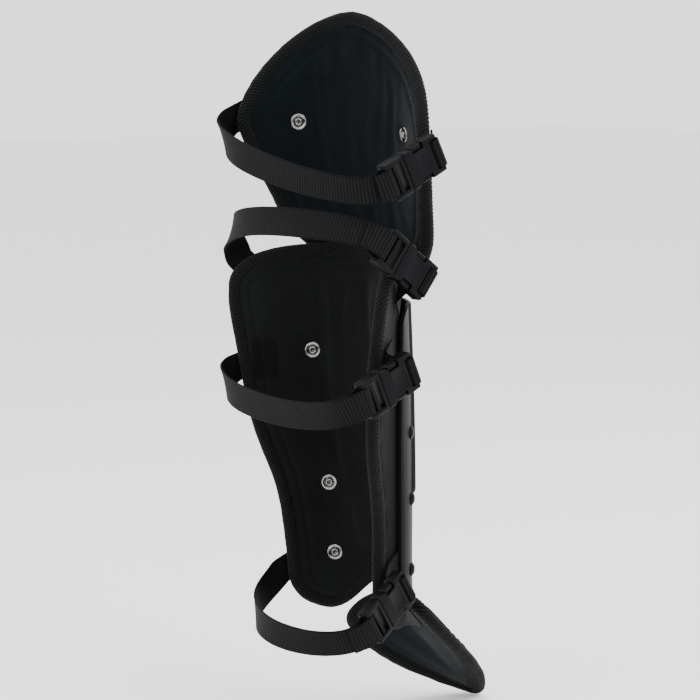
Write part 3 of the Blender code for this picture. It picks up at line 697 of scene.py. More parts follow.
def finish_for(key):
    """Each finish is made once, when a piece first needs it."""
    look = bpy.context.scene.guard_looks
    makers = {
        "knee_cloth": lambda: cloth_finish("knee_knit", look.knee_dark, look.knee_light,
                                           look.knit_pitch, 0.0002, 0.0003),
        "shin_cloth": lambda: cloth_finish("shin_weave", look.shin_dark, look.shin_light,
                                           look.weave_pitch, 0.00022, 0.00014, 0.05),
        "foot_cloth": lambda: cloth_finish("foot_knit", look.knee_dark, look.knee_light,
                                           look.knit_pitch, 0.00015, 0.0002, 0.10),
        "tape": lambda: tape_finish("edge_tape", look.tape_dark, look.tape_light),
        "webbing": lambda: webbing_finish("nylon_webbing", look.web_dark, look.web_light),
        "shell": lambda: gloss_finish("shell_gloss", look.shell_colour),
        "buckle": lambda: satin_finish("buckle_satin", look.buckle_dark, look.buckle_light),
        "cap": lambda: satin_finish("cap_black", look.buckle_dark, look.buckle_light),
        "metal": lambda: metal_finish("nickel"),
        "pile": lambda: pile_finish("loop_pile"),
        "thread": lambda: thread_finish("black_thread", (0.0016, 0.0016, 0.0018)),
        # The label's twill gets the same painted highlight on its ridges and painted shade
        # between them
        "label": lambda: tape_finish("bare_label", (0.0006, 0.0006, 0.0007),
                                     (0.0026, 0.0026, 0.0030)),
        "floor": lambda: plain_finish("floor_pale", tuple(look.floor_colour)),
    }
    if key not in FINISHES:
        FINISHES[key] = makers[key]()
    return FINISHES[key]


# Padding

CROWN_RUN = 0.022                       # from the edge to the full crown
SWELL_PRESSURE, SWELL_FRAMES = 4.0, 20


def slab_faces(columns, rows):
    """Faces of a closed slab whose two layers are flat grids, one after the other."""
    faces = []
    across, layer = columns + 1, (columns + 1) * (rows + 1)
    for j in range(rows):
        for i in range(columns):
            a = j * across + i
            quad = (a, a + 1, a + across + 1, a + across)
            faces.append(quad)
            faces.append(tuple(n + layer for n in reversed(quad)))
    rim = (list(range(columns)) + [j * across + columns for j in range(rows)]
           + [rows * across + i for i in range(columns, 0, -1)]
           + [j * across for j in range(rows, 0, -1)])
    for a, b in zip(rim, rim[1:] + rim[:1]):
        faces.append((a, b, b + layer, a + layer))
    return faces


def pad_mesh(name, pattern, columns, rows, puff):
    """The closed padding, puffed on its inner face away from its edge."""
    flat = flat_grid(pattern.outline, columns, rows)
    rim, _ = rim_loop(pattern.outline, 0.003)
    tree = KDTree(len(rim))
    for n, (s, z) in enumerate(rim):
        tree.insert((s, z, 0), n)
    tree.balance()
    points = []
    for outer in (False, True):
        for s, z in flat:
            edge = tree.find((s, z, 0))[2]
            depth = PAD_THICK if outer else -puff * ease(0.0, CROWN_RUN, edge)
            points.append(pattern.place(s, z, depth))
    return mesh_piece(name, points, slab_faces(columns, rows), flat + flat), tree


def swell(pad, pattern, tree, rivets):
    """Lets the padding swell as stuffed cloth does, held at its edge, back and rivets."""
    sizes = bpy.context.scene.guard_sizes
    cap = sizes.swell_cap
    take(pad)
    remesh = pad.modifiers.new("Even mesh", "REMESH")
    remesh.mode = "VOXEL"
    remesh.voxel_size = sizes.voxel
    apply_all(pad)
    before = [v.co.copy() for v in pad.data.vertices]
    held = pad.vertex_groups.new(name="held")
    for v in pad.data.vertices:
        s, z, depth = pattern.unplace(v.co)
        edge = tree.find((s, z, 0))[2]
        rivet = min((math.hypot(s - a, z - b) for a, b in rivets), default=1.0)
        grip = max(1 - ease(0.004, 0.014, edge), 1 - ease(0.008, 0.018, rivet),
                   ease(0.45 * PAD_THICK, 0.7 * PAD_THICK, depth))
        held.add([v.index], grip, "REPLACE")
    cloth = pad.modifiers.new("Swelling", "CLOTH")
    cloth.settings.use_pressure = True
    cloth.settings.uniform_pressure_force = SWELL_PRESSURE
    cloth.settings.vertex_group_mass = "held"
    cloth.settings.effector_weights.gravity = 0
    cloth.settings.quality = 4
    cloth.point_cache.frame_start = 1
    cloth.point_cache.frame_end = SWELL_FRAMES
    scene = bpy.context.scene
    for number in range(1, SWELL_FRAMES + 1):
        scene.frame_set(number)
    swollen = pad.evaluated_get(bpy.context.evaluated_depsgraph_get())
    after = [v.co.copy() for v in swollen.data.vertices]
    pad.modifiers.remove(cloth)
    for v, a, b in zip(pad.data.vertices, before, after):
        move = b - a
        if move.length > cap:
            move *= cap / move.length
        v.co = a + move
    scene.frame_set(1)
    pad.vertex_groups.clear()
    finer = pad.modifiers.new("Finer", "SUBSURF")
    finer.levels = 1
    finer.render_levels = 1
    apply_all(pad)


def finish_pad(pad, pattern, tree, rivets, seams):
    """Dimples round the rivets, sewn grooves, and UVs from the flat pattern."""
    for v in pad.data.vertices:
        s, z, depth = pattern.unplace(v.co)
        if depth > 0.5 * PAD_THICK:
            continue
        edge = tree.find((s, z, 0))[2]
        dip = 0.0
        for a, b in rivets:
            dip += 0.0012 * (1 - ease(0.004, 0.014, math.hypot(s - a, z - b)))
        for at, width, deep in seams:
            dip += deep * math.exp(-((edge - at) / width) ** 2)
        soft = noise.noise(Vector((s * 22, z * 22, depth * 5 + 3.1))) * 0.0006
        soft += noise.noise(Vector((s * 60, z * 60, 1.7))) * 0.0002
        v.co = pattern.place(s, z, depth + dip + soft * ease(0.0, 0.02, edge))
    mesh = pad.data
    while mesh.uv_layers:
        mesh.uv_layers.remove(mesh.uv_layers[0])
    layer = mesh.uv_layers.new(name="UVMap")
    flat = [pattern.unplace(v.co) for v in mesh.vertices]
    for loop in mesh.loops:
        s, z, depth = flat[loop.vertex_index]
        layer.data[loop.index].uv = (s, z)
    for face in mesh.polygons:
        face.use_smooth = True


def shin_rivets():
    return [(turn * SHIN_RADIUS * ShinPattern.row(up, 1) * RIVET_TURN, up)
            for up in SHIN_RIVET_UPS for turn in (-1, 1)]


def knee_rivets():
    reach, up = KNEE_RIVET_SHARE * KNEE_HALF_WIDTH, KNEE_SIDE + KNEE_RIVET_RISE
    return [(-reach, up), (reach, up)]


def build_pad(name, pattern, columns, rows, rivets, seams, finish, slot, node, puff):
    pad, tree = pad_mesh(name, pattern, columns, rows, puff)
    swell(pad, pattern, tree, rivets)
    finish_pad(pad, pattern, tree, rivets, seams)
    dress(pad, finish_for(finish), slot, node)
    return pad


# Edge tape

# Where the sewn row runs: out from the padding's edge, and off its middle
TAPE_SEAM_OUT, TAPE_BULGE = 0.0030, 0.0057
# Out from the padding's edge, and off its middle
TAPE_SECTION = ((-0.0036, -0.0037), (-0.0026, -0.0048), (0.0004, -0.0055), (0.0038, -0.0053),
                (0.0060, -0.0042), (0.0075, -0.0023), (0.0081, 0.0), (0.0075, 0.0023),
                (0.0060, 0.0042), (0.0038, 0.0053), (0.0004, 0.0055), (-0.0026, 0.0048),
                (-0.0036, 0.0037))


def tape_ring(name, pattern, node, slot="binding", step=0.0022):
    """Tape folded over a panel's edge, a little uneven along its length."""
    loop, ways = rim_loop(pattern.outline, step)
    points, faces, uvs = [], [], []
    count, sides = len(loop), len(TAPE_SECTION)
    for n, ((s, z), (out_s, out_z)) in enumerate(zip(loop, ways)):
        wobble = noise.noise(Vector((s * 55, z * 55, 7.3)))
        fat = 1 + 0.05 * noise.noise(Vector((s * 120, z * 120, 2.1)))
        for m, (out, depth) in enumerate(TAPE_SECTION):
            reach = out * fat + (0.0004 * wobble if out < 0.002 else 0.0)
            points.append(pattern.place(s + reach * out_s, z + reach * out_z,
                                        PAD_THICK / 2 + depth * fat))
            uvs.append((n * step, m * 0.0022))
    for n in range(count):
        for m in range(sides):
            a, b = n * sides + m, n * sides + (m + 1) % sides
            c, d = (n + 1) % count * sides + (m + 1) % sides, (n + 1) % count * sides + m
            faces.append((a, b, c, d))
    ring = mesh_piece(name, points, faces)
    layer = ring.data.uv_layers.new(name="UVMap")
    for face in ring.data.polygons:
        corners = [ring.data.loops[k].vertex_index for k in face.loop_indices]
        last = max(corners) // sides == count - 1 and min(corners) // sides == 0
        turn = max(c % sides for c in corners) - min(c % sides for c in corners) > 1
        for k, corner in zip(face.loop_indices, corners):
            u, v = uvs[corner]
            if last and corner // sides == 0:
                u += count * step
            if turn and corner % sides == 0:
                v += sides * 0.0022
            layer.data[k].uv = (u, v)
    dress(ring, finish_for("tape"), slot, node)
    return ring


# Sewing

def stitch_rows(name, rows, pitch, long, thick):
    """Rows of short threads, each row a list of places with the ways off the cloth."""
    points, faces = [], []
    for places, offs in rows:
        lengths = [0.0]
        for a, b in zip(places, places[1:]):
            lengths.append(lengths[-1] + (b - a).length)
        count = int(lengths[-1] / pitch)
        k = 0
        for n in range(count):
            ends = []
            for spot in (n * pitch, n * pitch + long):
                while k < len(lengths) - 2 and lengths[k + 1] < spot:
                    k += 1
                share = (spot - lengths[k]) / max(1e-9, lengths[k + 1] - lengths[k])
                ends.append(places[k].lerp(places[k + 1], min(1.2, share)))
            off = offs[k].normalized()
            ahead = (ends[1] - ends[0]).normalized()
            side = ahead.cross(off).normalized()
            first = len(points)
            middle = (ends[0] + ends[1]) / 2
            for centre, wide, high in ((ends[0], 0.35, -0.5), (middle, 1.0, 0.0),
                                       (ends[1], 0.35, -0.5)):
                lift = centre + off * (high * thick)
                for a in range(6):
                    angle = math.pi * a / 3
                    points.append(lift + side * (math.cos(angle) * thick * 0.6 * wide)
                                  + off * (math.sin(angle) * thick * 0.5 * wide))
            for ring in (0, 1):
                for a in range(6):
                    b = (a + 1) % 6
                    base = first + ring * 6
                    faces.append((base + a, base + b, base + 6 + b, base + 6 + a))
            faces.append(tuple(first + a for a in reversed(range(6))))
            faces.append(tuple(first + 12 + a for a in range(6)))
    piece = mesh_piece(name, points, faces)
    dress(piece, finish_for("thread"), "binding")
    return piece


def rim_stitches(pattern, depth, way):
    """A row of places on the edge tape, on one of the panel's faces."""
    loop, ways = rim_loop(pattern.outline, 0.0015)
    places, offs = [], []
    for (s, z), (a, b) in list(zip(loop, ways)) + [(loop[0], ways[0])]:
        flat = s + TAPE_SEAM_OUT * a, z + TAPE_SEAM_OUT * b
        here = pattern.place(*flat, depth)
        above = pattern.place(*flat, depth + 0.002 * way)
        places.append(here)
        offs.append(above - here)
    return places, offs


# Plates

def bent_plate(name, outline, place, inner, columns, rows, relief, finish, slot, node,
               edge=0.0011):
    """A moulded plate: a flat grid, bent, given its wall, and its edges rounded."""
    clear_selection()
    bpy.ops.mesh.primitive_grid_add(x_subdivisions=columns, y_subdivisions=rows, size=2)
    plate = primitive(name)
    flat = {}
    for v in plate.data.vertices:
        k, m = v.co.x, v.co.y
        s, z = outline(k + 0.35 * math.sin(math.pi * k) / math.pi,
                       0.5 + 0.5 * (m + 0.3 * math.sin(math.pi * m) / math.pi))
        flat[v.index] = (s, z)
        v.co = place(s, z, inner(s, z) + relief(s, z))
    plate.data.update()
    work = bmesh.new()
    work.from_mesh(plate.data)
    bmesh.ops.recalc_face_normals(work, faces=work.faces)
    centre = work.faces[len(work.faces) // 2]
    at = min(flat, key=lambda n: (plate.data.vertices[n].co - centre.calc_center_median())
             .length)
    out = place(*flat[at], 0.02) - place(*flat[at], 0.0)
    if centre.normal.dot(out) < 0:
        bmesh.ops.reverse_faces(work, faces=work.faces)
    work.to_mesh(plate.data)
    work.free()
    wall = plate.modifiers.new("Wall", "SOLIDIFY")
    wall.thickness = SHELL_THICK
    wall.offset = 1.0
    wall.use_even_offset = True
    rounding = plate.modifiers.new("Rounded edge", "BEVEL")
    rounding.width = edge
    rounding.segments = 3
    rounding.limit_method = "ANGLE"
    rounding.angle_limit = math.radians(60)
    apply_all(plate)
    smooth(plate, 50)
    dress(plate, finish_for(finish), slot, node)
    return plate


def shell_half_width(up):
    return SHELL_HALF_WIDTH * mix(SHELL_FOOT_SHARE, 1.0,
                                  ease(-SHELL_BOTTOM, SHELL_TOP * 0.6, up))


def shell_outline(p, q):
    top = SHELL_TOP - SHELL_CORNER * round_drop(p, 3.0)
    arch = SHELL_ARCH * (1 - ease(0.2, 0.75, abs(p)))
    corner = 0.4 * SHELL_CORNER * round_drop(p, 5.0)
    up = mix(-SHELL_BOTTOM + arch + corner, top, q)
    return p * shell_half_width(up), up


def shell_relief(side, up):
    """The raised ridge down the front, and a shallow return along the edges."""
    across = 1 - ease(RIDGE_HALF_WIDTH - 0.005, RIDGE_HALF_WIDTH, abs(side))
    down = ease(RIDGE_BOTTOM - 0.006, RIDGE_BOTTOM + 0.001, up)
    lip = ease(shell_half_width(up) - 0.004, shell_half_width(up), abs(side))
    return RIDGE_RAISE * across * down - 0.0006 * lip


def knee_cap_inner(side, up):
    spread = math.hypot(side / KNEE_HALF_WIDTH, (up - KNEE_SIDE) / (KNEE_TOP - KNEE_SIDE))
    return PAD_THICK + GAP + KNEE_SHELL_DOME * (1 - ease(0.1, 0.72, spread))


def knee_cap_relief(side, up):
    """A raised oval in the middle of the knee cap."""
    spread = math.hypot(side / 0.040, (up - KNEE_SIDE) / 0.052)
    return 0.0016 * (1 - ease(0.86, 1.0, spread))


def boss_relief(side, forward):
    """A raised boss with ribs across it."""
    middle = 0.52 * FOOT_LENGTH
    across = 1 - ease(BOSS_WIDTH / 2 - 0.005, BOSS_WIDTH / 2, abs(side))
    reach = 1 - ease(BOSS_LENGTH / 2 - 0.006, BOSS_LENGTH / 2, abs(forward - middle))
    ribs = 0.5 + 0.5 * math.cos(2 * math.pi * (forward - middle) / 0.0085)
    return across * reach * (BOSS_RAISE - 0.0012 + 0.0014 * ribs)


def foot_plate_outline(p, q):
    _, forward = FootPattern.outline(p, q, TAPE_WIDTH + FOOT_SHELL_MARGIN)
    half = FOOT_HALF_WIDTH * along(FOOT_ROWS, forward / FOOT_LENGTH, 1) - TAPE_WIDTH
    return p * FOOT_SHELL_SHARE * half, forward


# Finding a pad's own surface again

class Skin:
    """The inner or outer face of a finished pad, in its pattern's flat places."""

    def __init__(self, pad, pattern, outer=False):
        mesh = pad.data
        self.pattern = pattern
        self.outer = outer
        self.tree = BVHTree.FromPolygons([v.co for v in mesh.vertices],
                                         [tuple(f.vertices) for f in mesh.polygons])

    def depth(self, side, up):
        start = 0.04 if self.outer else -0.04
        begin = self.pattern.place(side, up, start)
        aim = (self.pattern.place(side, up, PAD_THICK / 2) - begin).normalized()
        hit, _, _, far = self.tree.ray_cast(begin, aim, 0.06)
        if hit is None:
            return PAD_THICK if self.outer else 0.0
        return start - far if self.outer else start + far

    def place(self, side, up, lift):
        way = 1 if self.outer else -1
        return self.pattern.place(side, up, self.depth(side, up) + way * lift)

    def path(self, flat, lift):
        """Places along a flat path on the skin, and the way off it at each."""
        places, offs = [], []
        for side, up in flat:
            here = self.place(side, up, lift)
            places.append(here)
            offs.append(self.place(side, up, lift + 0.001) - here)
        return places, offs


def patch(name, skin, outline, columns, rows, thick, lift, edge=0.0):
    """A thin closed piece of cloth that lies on a pad's skin."""
    points = []
    flat = flat_grid(outline, columns, rows)
    lows = [skin.depth(s, z) for s, z in flat]
    way = 1 if skin.outer else -1
    for layer in (0, 1):
        for n, (s, z) in enumerate(flat):
            i, j = n % (columns + 1), n // (columns + 1)
            rim = i in (0, columns) or j in (0, rows)
            high = lift + layer * thick * (edge if rim and edge else 1.0)
            points.append(skin.pattern.place(s, z, lows[n] + way * high))
    piece = mesh_piece(name, points, slab_faces(columns, rows), flat + flat)
    smooth(piece, 50)
    return piece


# Webbing

class Ribbon:
    """A strip of webbing along even places, with its own across and outward ways."""

    def __init__(self, stops, step=0.0005, soften=0.0018):
        rows = np.array([list(place) + list(way) for place, way in stops])
        gaps = np.linalg.norm(np.diff(rows[:, :3], axis=0), axis=1)
        rows = rows[np.concatenate(([True], gaps > 1e-6))]
        gaps = np.linalg.norm(np.diff(rows[:, :3], axis=0), axis=1)
        run = np.concatenate(([0], np.cumsum(gaps)))
        self.marks = np.arange(0, run[-1], step)
        even = np.stack([np.interp(self.marks, run, rows[:, k]) for k in range(6)], axis=1)
        reach = round(soften / step)
        weights = np.hanning(2 * reach + 3)[1:-1]
        weights /= weights.sum()
        before = 2 * even[0] - even[reach:0:-1]
        after = 2 * even[-1] - even[-2:-reach - 2:-1]
        long = np.concatenate((before, even, after))
        even = np.stack([np.convolve(long[:, k], weights, "valid") for k in range(6)],
                        axis=1)
        self.centres = even[:, :3]
        ahead = np.gradient(self.centres, axis=0)
        ahead /= np.linalg.norm(ahead, axis=1)[:, None]
        across = even[:, 3:] - ahead * (even[:, 3:] * ahead).sum(axis=1)[:, None]
        self.across = across / np.linalg.norm(across, axis=1)[:, None]
        self.out = np.cross(ahead, self.across)
        self.length = float(self.marks[-1])

    def spot(self, run, across, lift):
        n = min(len(self.marks) - 1, max(0, round(run / (self.marks[1]))))
        place = self.centres[n] + self.across[n] * across + self.out[n] * lift
        return Vector(place), Vector(self.out[n] if lift >= 0 else -self.out[n])

    def seam(self, corners, lift, step=0.001):
        """Places along a sewn line through corners of run and across."""
        places, offs = [], []
        for (run_a, a), (run_b, b) in zip(corners, corners[1:]):
            count = max(1, round(math.hypot(run_b - run_a, b - a) / step))
            for k in range(count + 1):
                share = k / count
                place, off = self.spot(mix(run_a, run_b, share), mix(a, b, share), lift)
                places.append(place)
                offs.append(off)
        return places, offs


# Share of the half width, share of the half thickness, share of the rib
WEB_SECTION = ((-1.0, 0.0, 0.0), (-0.985, 0.72, 0.0), (-0.955, 1.06, 0.0), (-0.915, 1.0, 0.5),
               (-0.86, 0.94, 1.0), (-0.45, 0.94, 1.0), (0.0, 0.94, 1.0), (0.45, 0.94, 1.0),
               (0.86, 0.94, 1.0), (0.915, 1.0, 0.5), (0.955, 1.06, 0.0), (0.985, 0.72, 0.0),
               (1.0, 0.0, 0.0))
# A crossed box of stitches at a sewn end, in run and across; their pitch, length, thread
SEWN_BOX = [(0.003, -0.0095), (0.003, 0.0095), (0.016, 0.0095), (0.016, -0.0095),
            (0.003, -0.0095), (0.016, 0.0095)]
WEB_STITCH = 0.0026, 0.0019, 0.0007


def tube_faces(count, sides):
    """Faces of a closed tube of rings, one after the other, with its two ends."""
    faces = []
    for n in range(count - 1):
        for m in range(sides):
            a, b = n * sides + m, n * sides + (m + 1) % sides
            faces.append((a, b, b + sides, a + sides))
    faces.append(tuple(range(sides)))
    faces.append(tuple((count - 1) * sides + m for m in range(sides)))
    return faces


def webbing(name, ribbon, ribs, *nodes):
    """Woven tape with a rounded selvedge and real ribs where they show."""
    look = bpy.context.scene.guard_sizes
    section = ([(a, t, r) for a, t, r in WEB_SECTION]
               + [(a, -t, r) for a, t, r in reversed(WEB_SECTION[1:-1])])
    sides, count = len(section), len(ribbon.marks)
    points, uvs, heights = [], [], []
    for n in range(count):
        run = float(ribbon.marks[n])
        wave = 0.5 - 0.5 * math.cos(2 * math.pi * run / look.rib_pitch)
        grown = (wave ** 0.75) * ribs(run)
        slack = noise.noise(Vector((run * 30, len(name) * 1.7, 0.3))) * 0.0003
        for share, thick, rib in section:
            high = WEB_THICK / 2 * thick
            high += math.copysign(look.rib_height * grown * rib, thick) if thick else 0.0
            place = (ribbon.centres[n] + ribbon.across[n] * (share * WEB_WIDTH / 2)
                     + ribbon.out[n] * (high + slack))
            points.append(place)
            uvs.append((run, share * WEB_WIDTH / 2 + (0.05 if thick < 0 else 0)))
            heights.append(grown * rib)
    piece = mesh_piece(name, points, tube_faces(count, sides), uvs)
    # Each point's share of the rib height, which the webbing finish turns into a painted
    # highlight on rib tops and painted shade between them
    rib_highlight_layer = piece.data.attributes.new("rib", "FLOAT", "POINT")
    rib_highlight_layer.data.foreach_set("value", heights)
    smooth(piece, 60)
    dress(piece, finish_for("webbing"), "webbing", *nodes)
    return piece


class Buckle:
    """Where a buckle lies: its middle, and its length, width and outward axes."""

    def __init__(self, pattern, half, share, up, toe_offset, pitch, yaw):
        forward = world(math.cos(pitch) * math.sin(yaw), math.cos(pitch) * math.cos(yaw),
                        math.sin(pitch))
        out = world(1, 0, 0)
        out = (out - out.dot(forward) * forward).normalized()
        base = pattern.place(share * half(up), up, PAD_THICK)
        widest = max(-pattern.place(share * half(up + step), up + step, PAD_THICK).x
                     for step in (-BUCKLE_WIDTH / 2, 0, BUCKLE_WIDTH / 2))
        self.front = (MALE_LENGTH + FEMALE_LENGTH) / 2
        self.rear = -self.front
        near = (widest + TAPE_THICK / 2 + BUCKLE_CLEAR + BUCKLE_THICK / 2
                + self.front * abs(math.sin(yaw)))
        self.frame = Matrix((forward, out.cross(forward), out)).transposed().to_4x4()
        self.frame.translation = world(near, -base.y + toe_offset, up)

    def point(self, forward, width, out):
        return self.frame @ Vector((forward, width, out))

    def width_up(self):
        way = self.frame.to_3x3().col[1]
        return way if way.z > 0 else -way


def panel_tail(pattern, side, up, inward, slope, depth, steps=12):
    """Webbing that lies on a panel and ends at this side and height, at this slope."""
    a, b = -inward * math.sin(slope) * WEB_WIDTH / 2, math.cos(slope) * WEB_WIDTH / 2
    stops = []
    for k in range(steps, -1, -1):
        step = TAIL_LENGTH * k / steps
        s, z = side + inward * step * math.cos(slope), up + step * math.sin(slope)
        way = pattern.place(s + a, z + b, depth) - pattern.place(s - a, z - b, depth)
        stops.append((pattern.place(s, z, depth), way.normalized()))
    return stops


def guard_rows():
    """For each strap its number, pattern, buckle and both rows of sizes."""
    found = []
    for strap_row, buckle_row in zip(STRAP_ROWS, BUCKLE_ROWS):
        number = strap_row[0]
        pattern = KneePattern if number == 1 else ShinPattern
        _, up, share, toe_offset, pitch, yaw, _, _ = buckle_row
        buckle = Buckle(pattern, pattern.half_width, share, up, toe_offset,
                        math.radians(pitch), math.radians(yaw))
        found.append((number, pattern, buckle, strap_row, buckle_row))
    return found


def strap_path(pattern, buckle, strap_row, buckle_row, fold):
    """From the far tail round the leg, under the buckle's rear bar and back over it."""
    _, far_up, far_share, slope, lead_share, rise, reach, corner_up, swing_up = strap_row
    up = buckle_row[1]
    depth = OVER_TAPE + WEB_THICK / 2 + WEB_SLACK
    widest = max(pattern.half_width(far_up + step)
                 for step in (-WEB_WIDTH / 2, 0, WEB_WIDTH / 2))
    stops = panel_tail(pattern, -(far_share * widest + EDGE_CLEAR), far_up, 1,
                       math.radians(slope), depth)
    leave = stops[-1][1]
    lead = (stops[-1][0] - stops[-2][0]).normalized() * (lead_share * STRAP_LEAD)
    lead += world(0, 0, rise)
    far_edge = pattern.place(-pattern.half_width(far_up), far_up, 0)
    near_edge = pattern.place(pattern.half_width(up), up, 0)
    back = min(-far_edge.y, -near_edge.y) - reach
    controls = (stops[-1][0], stops[-1][0] + lead,
                world(-far_edge.x * 0.85, back, corner_up),
                world(-near_edge.x * 0.65, back, swing_up),
                buckle.point(buckle.rear - STRAP_RUN_IN, 0, 0.0),
                buckle.point(buckle.rear - 0.004, 0, -0.0034))
    main = []
    steps = 160
    for k in range(1, steps + 1):
        share = k / steps
        way = (leave.lerp(world(0, 0, 1), ease(0.0, 0.4, share))
               .lerp(buckle.width_up(), ease(0.4, 1.0, share)))
        main.append((bezier(controls, share), way))
    stops += main
    rear, up_way = buckle.rear, buckle.width_up()
    for forward, out in ((rear + 0.0005, -0.0037), (rear + 0.0034, -0.0036),
                         (rear + 0.0052, -0.0024), (rear + 0.0060, 0.0),
                         (rear + 0.0058, 0.0030), (rear + 0.0046, 0.0049),
                         (rear + 0.0028, 0.0055), (rear + 0.0006, 0.0054),
                         (rear - 0.0014, 0.0046)):
        stops.append((buckle.point(forward, 0, out), up_way))
    back_run = 0.0
    above = buckle.frame.to_3x3().col[2]
    for (here, way), (before, _) in zip(main[::-1], main[-2::-1]):
        back_run += (here - before).length
        if back_run > fold:
            break
        if back_run < 0.0025:
            continue
        ahead = (here - before).normalized()
        off = ahead.cross(way).normalized()
        off = off if off.dot(above) > 0 else -off
        gap = 0.0023 + 0.0058 * (1 - ease(0.0, 0.010, back_run))
        stops.append((here + off * gap, way))
    return stops


def anchor_path(pattern, buckle, buckle_row):
    """From the near tail up through the buckle's slot, over its end bar and back."""
    number, _, _, _, pitch, _, near_up, near_back = buckle_row
    depth = PAD_THICK + TAIL_CLEAR + WEB_THICK / 2
    if number == 1:
        depth = OVER_TAPE + WEB_THICK / 2 + WEB_SLACK
    tail = panel_tail(pattern, pattern.half_width(near_up) - near_back, near_up, -1,
                      math.radians(pitch), depth)
    stops = list(tail)
    bar = buckle.front - BAR_WIDTH
    slot = bar - 0.5 * SLOT_WIDTH
    turn = GAP + WEB_THICK / 2 + WEB_SLACK
    over = BUCKLE_THICK / 2 + turn
    start = tail[-1][1]
    leave = (tail[-1][0] - tail[-2][0]).normalized()
    controls = (tail[-1][0], tail[-1][0] + leave * ANCHOR_LEAD,
                buckle.point(slot, 0, -over - turn - ANCHOR_LEAD),
                buckle.point(slot, 0, -over - turn))
    for k in range(1, 25):
        share = k / 24
        stops.append((bezier(controls, share),
                      start.lerp(buckle.width_up(), ease(0.1, 0.8, share))))
    up_way = buckle.width_up()
    front = buckle.front
    for forward, out in ((slot, -0.003), (slot, 0.0020), (slot + 0.0006, 0.0054),
                         (bar, 0.0068), (bar + 0.0020, 0.0071),
                         (front - 0.0002, 0.0066), (front + 0.0014, 0.0048),
                         (front + 0.0019, 0.0010), (front + 0.0017, -0.0045),
                         (front + 0.0010, -0.0080)):
        stops.append((buckle.point(forward, 0, out), up_way))
    return stops


# Buckle bodies

SLEEVE_WALL, CUT_PAST = 0.0022, 0.001

def block(name, low, high, rounding=0.0, segments=3):
    """A box between two corners, with its edges rounded."""
    clear_selection()
    low, high = Vector(low), Vector(high)
    bpy.ops.mesh.primitive_cube_add(size=1, location=(low + high) / 2, scale=high - low)
    bpy.ops.object.transform_apply(location=True, rotation=False, scale=True)
    piece = primitive(name)
    if rounding:
        bevel = piece.modifiers.new("Rounded edges", "BEVEL")
        bevel.width = rounding
        bevel.segments = segments
        apply_all(piece)
    return piece


def post(name, centre, radius, height, corners=32):
    clear_selection()
    bpy.ops.mesh.primitive_cylinder_add(vertices=corners, radius=radius, depth=height,
                                        location=centre)
    bpy.ops.object.transform_apply(location=True, rotation=False, scale=True)
    return primitive(name)


def take_away(piece, other):
    take(piece)
    step = piece.modifiers.new("Difference", "BOOLEAN")
    step.operation = "DIFFERENCE"
    step.solver = "EXACT"
    step.object = other
    bpy.ops.object.modifier_apply(modifier=step.name)
    bpy.data.objects.remove(other, do_unlink=True)


def cut(piece, low, high):
    """Takes a box between two corners out of a piece."""
    take_away(piece, block("cut", low, high))


def soften_edges(piece, width, segments=2, angle=35):
    bevel = piece.modifiers.new("Soft edges", "BEVEL")
    bevel.width = width
    bevel.segments = segments
    bevel.limit_method = "ANGLE"
    bevel.angle_limit = math.radians(angle)
    bevel.use_clamp_overlap = True
    apply_all(piece)
    smooth(piece, 38)


def male_body():
    """The ladder half: two rails, two bars, a collar and three prongs."""
    half, thick = BUCKLE_WIDTH / 2, BUCKLE_THICK / 2
    rear = -(MALE_LENGTH + FEMALE_LENGTH) / 2
    base = rear + MALE_LENGTH
    slot_half = WEB_WIDTH / 2 + GAP
    body = block("male", (rear, -half, -thick), (base - GAP, half, thick), 0.0014)
    first, second = rear + BAR_WIDTH, rear + 2 * BAR_WIDTH + SLOT_WIDTH
    reach = thick + CUT_PAST
    for slot in (first, second):
        cut(body, (slot, -slot_half, -reach), (slot + SLOT_WIDTH, slot_half, reach))
    # The rear bar and the middle bar lie below the rails
    for start, end, above, below in ((rear, first, 0.0042, -0.0022),
                                     (first + SLOT_WIDTH, second, 0.0046, -0.0030)):
        cut(body, (start - CUT_PAST, -slot_half, above), (end + CUT_PAST, slot_half, reach))
        cut(body, (start - CUT_PAST, -slot_half, -reach), (end + CUT_PAST, slot_half, below))
    # A step across the collar
    cut(body, (base - 0.0030, -half - CUT_PAST, thick - 0.0006),
        (base + CUT_PAST, half + CUT_PAST, reach))
    soften_edges(body, 0.00045)
    inside = thick - SLEEVE_WALL - GAP
    for side in (-1, 1):
        low, high = slot_half - PRONG_WIDTH, slot_half
        arm = block("arm", (base - 0.002, min(side * low, side * high), -inside),
                    (base + PRONG_LENGTH, max(side * low, side * high), inside), 0.0008)
        body = join("male", [body, arm])
        button = block("button", (base + 0.0104, min(side * 0.0120, side * 0.0166), -0.0044),
                       (base + 0.0216, max(side * 0.0120, side * 0.0166), 0.0044), 0.0016)
        ridge = [block("grip", (base + 0.0125 + 0.0024 * k,
                                min(side * 0.0160, side * 0.0170), -0.0030),
                       (base + 0.0135 + 0.0024 * k,
                        max(side * 0.0160, side * 0.0170), 0.0030), 0.0003)
                 for k in range(4)]
        body = join("male", [body, button] + ridge)
    tongue = block("tongue", (base - 0.002, -PRONG_WIDTH / 2, -inside),
                   (base + PRONG_LENGTH, PRONG_WIDTH / 2, inside), 0.0008)
    return join("male", [body, tongue])


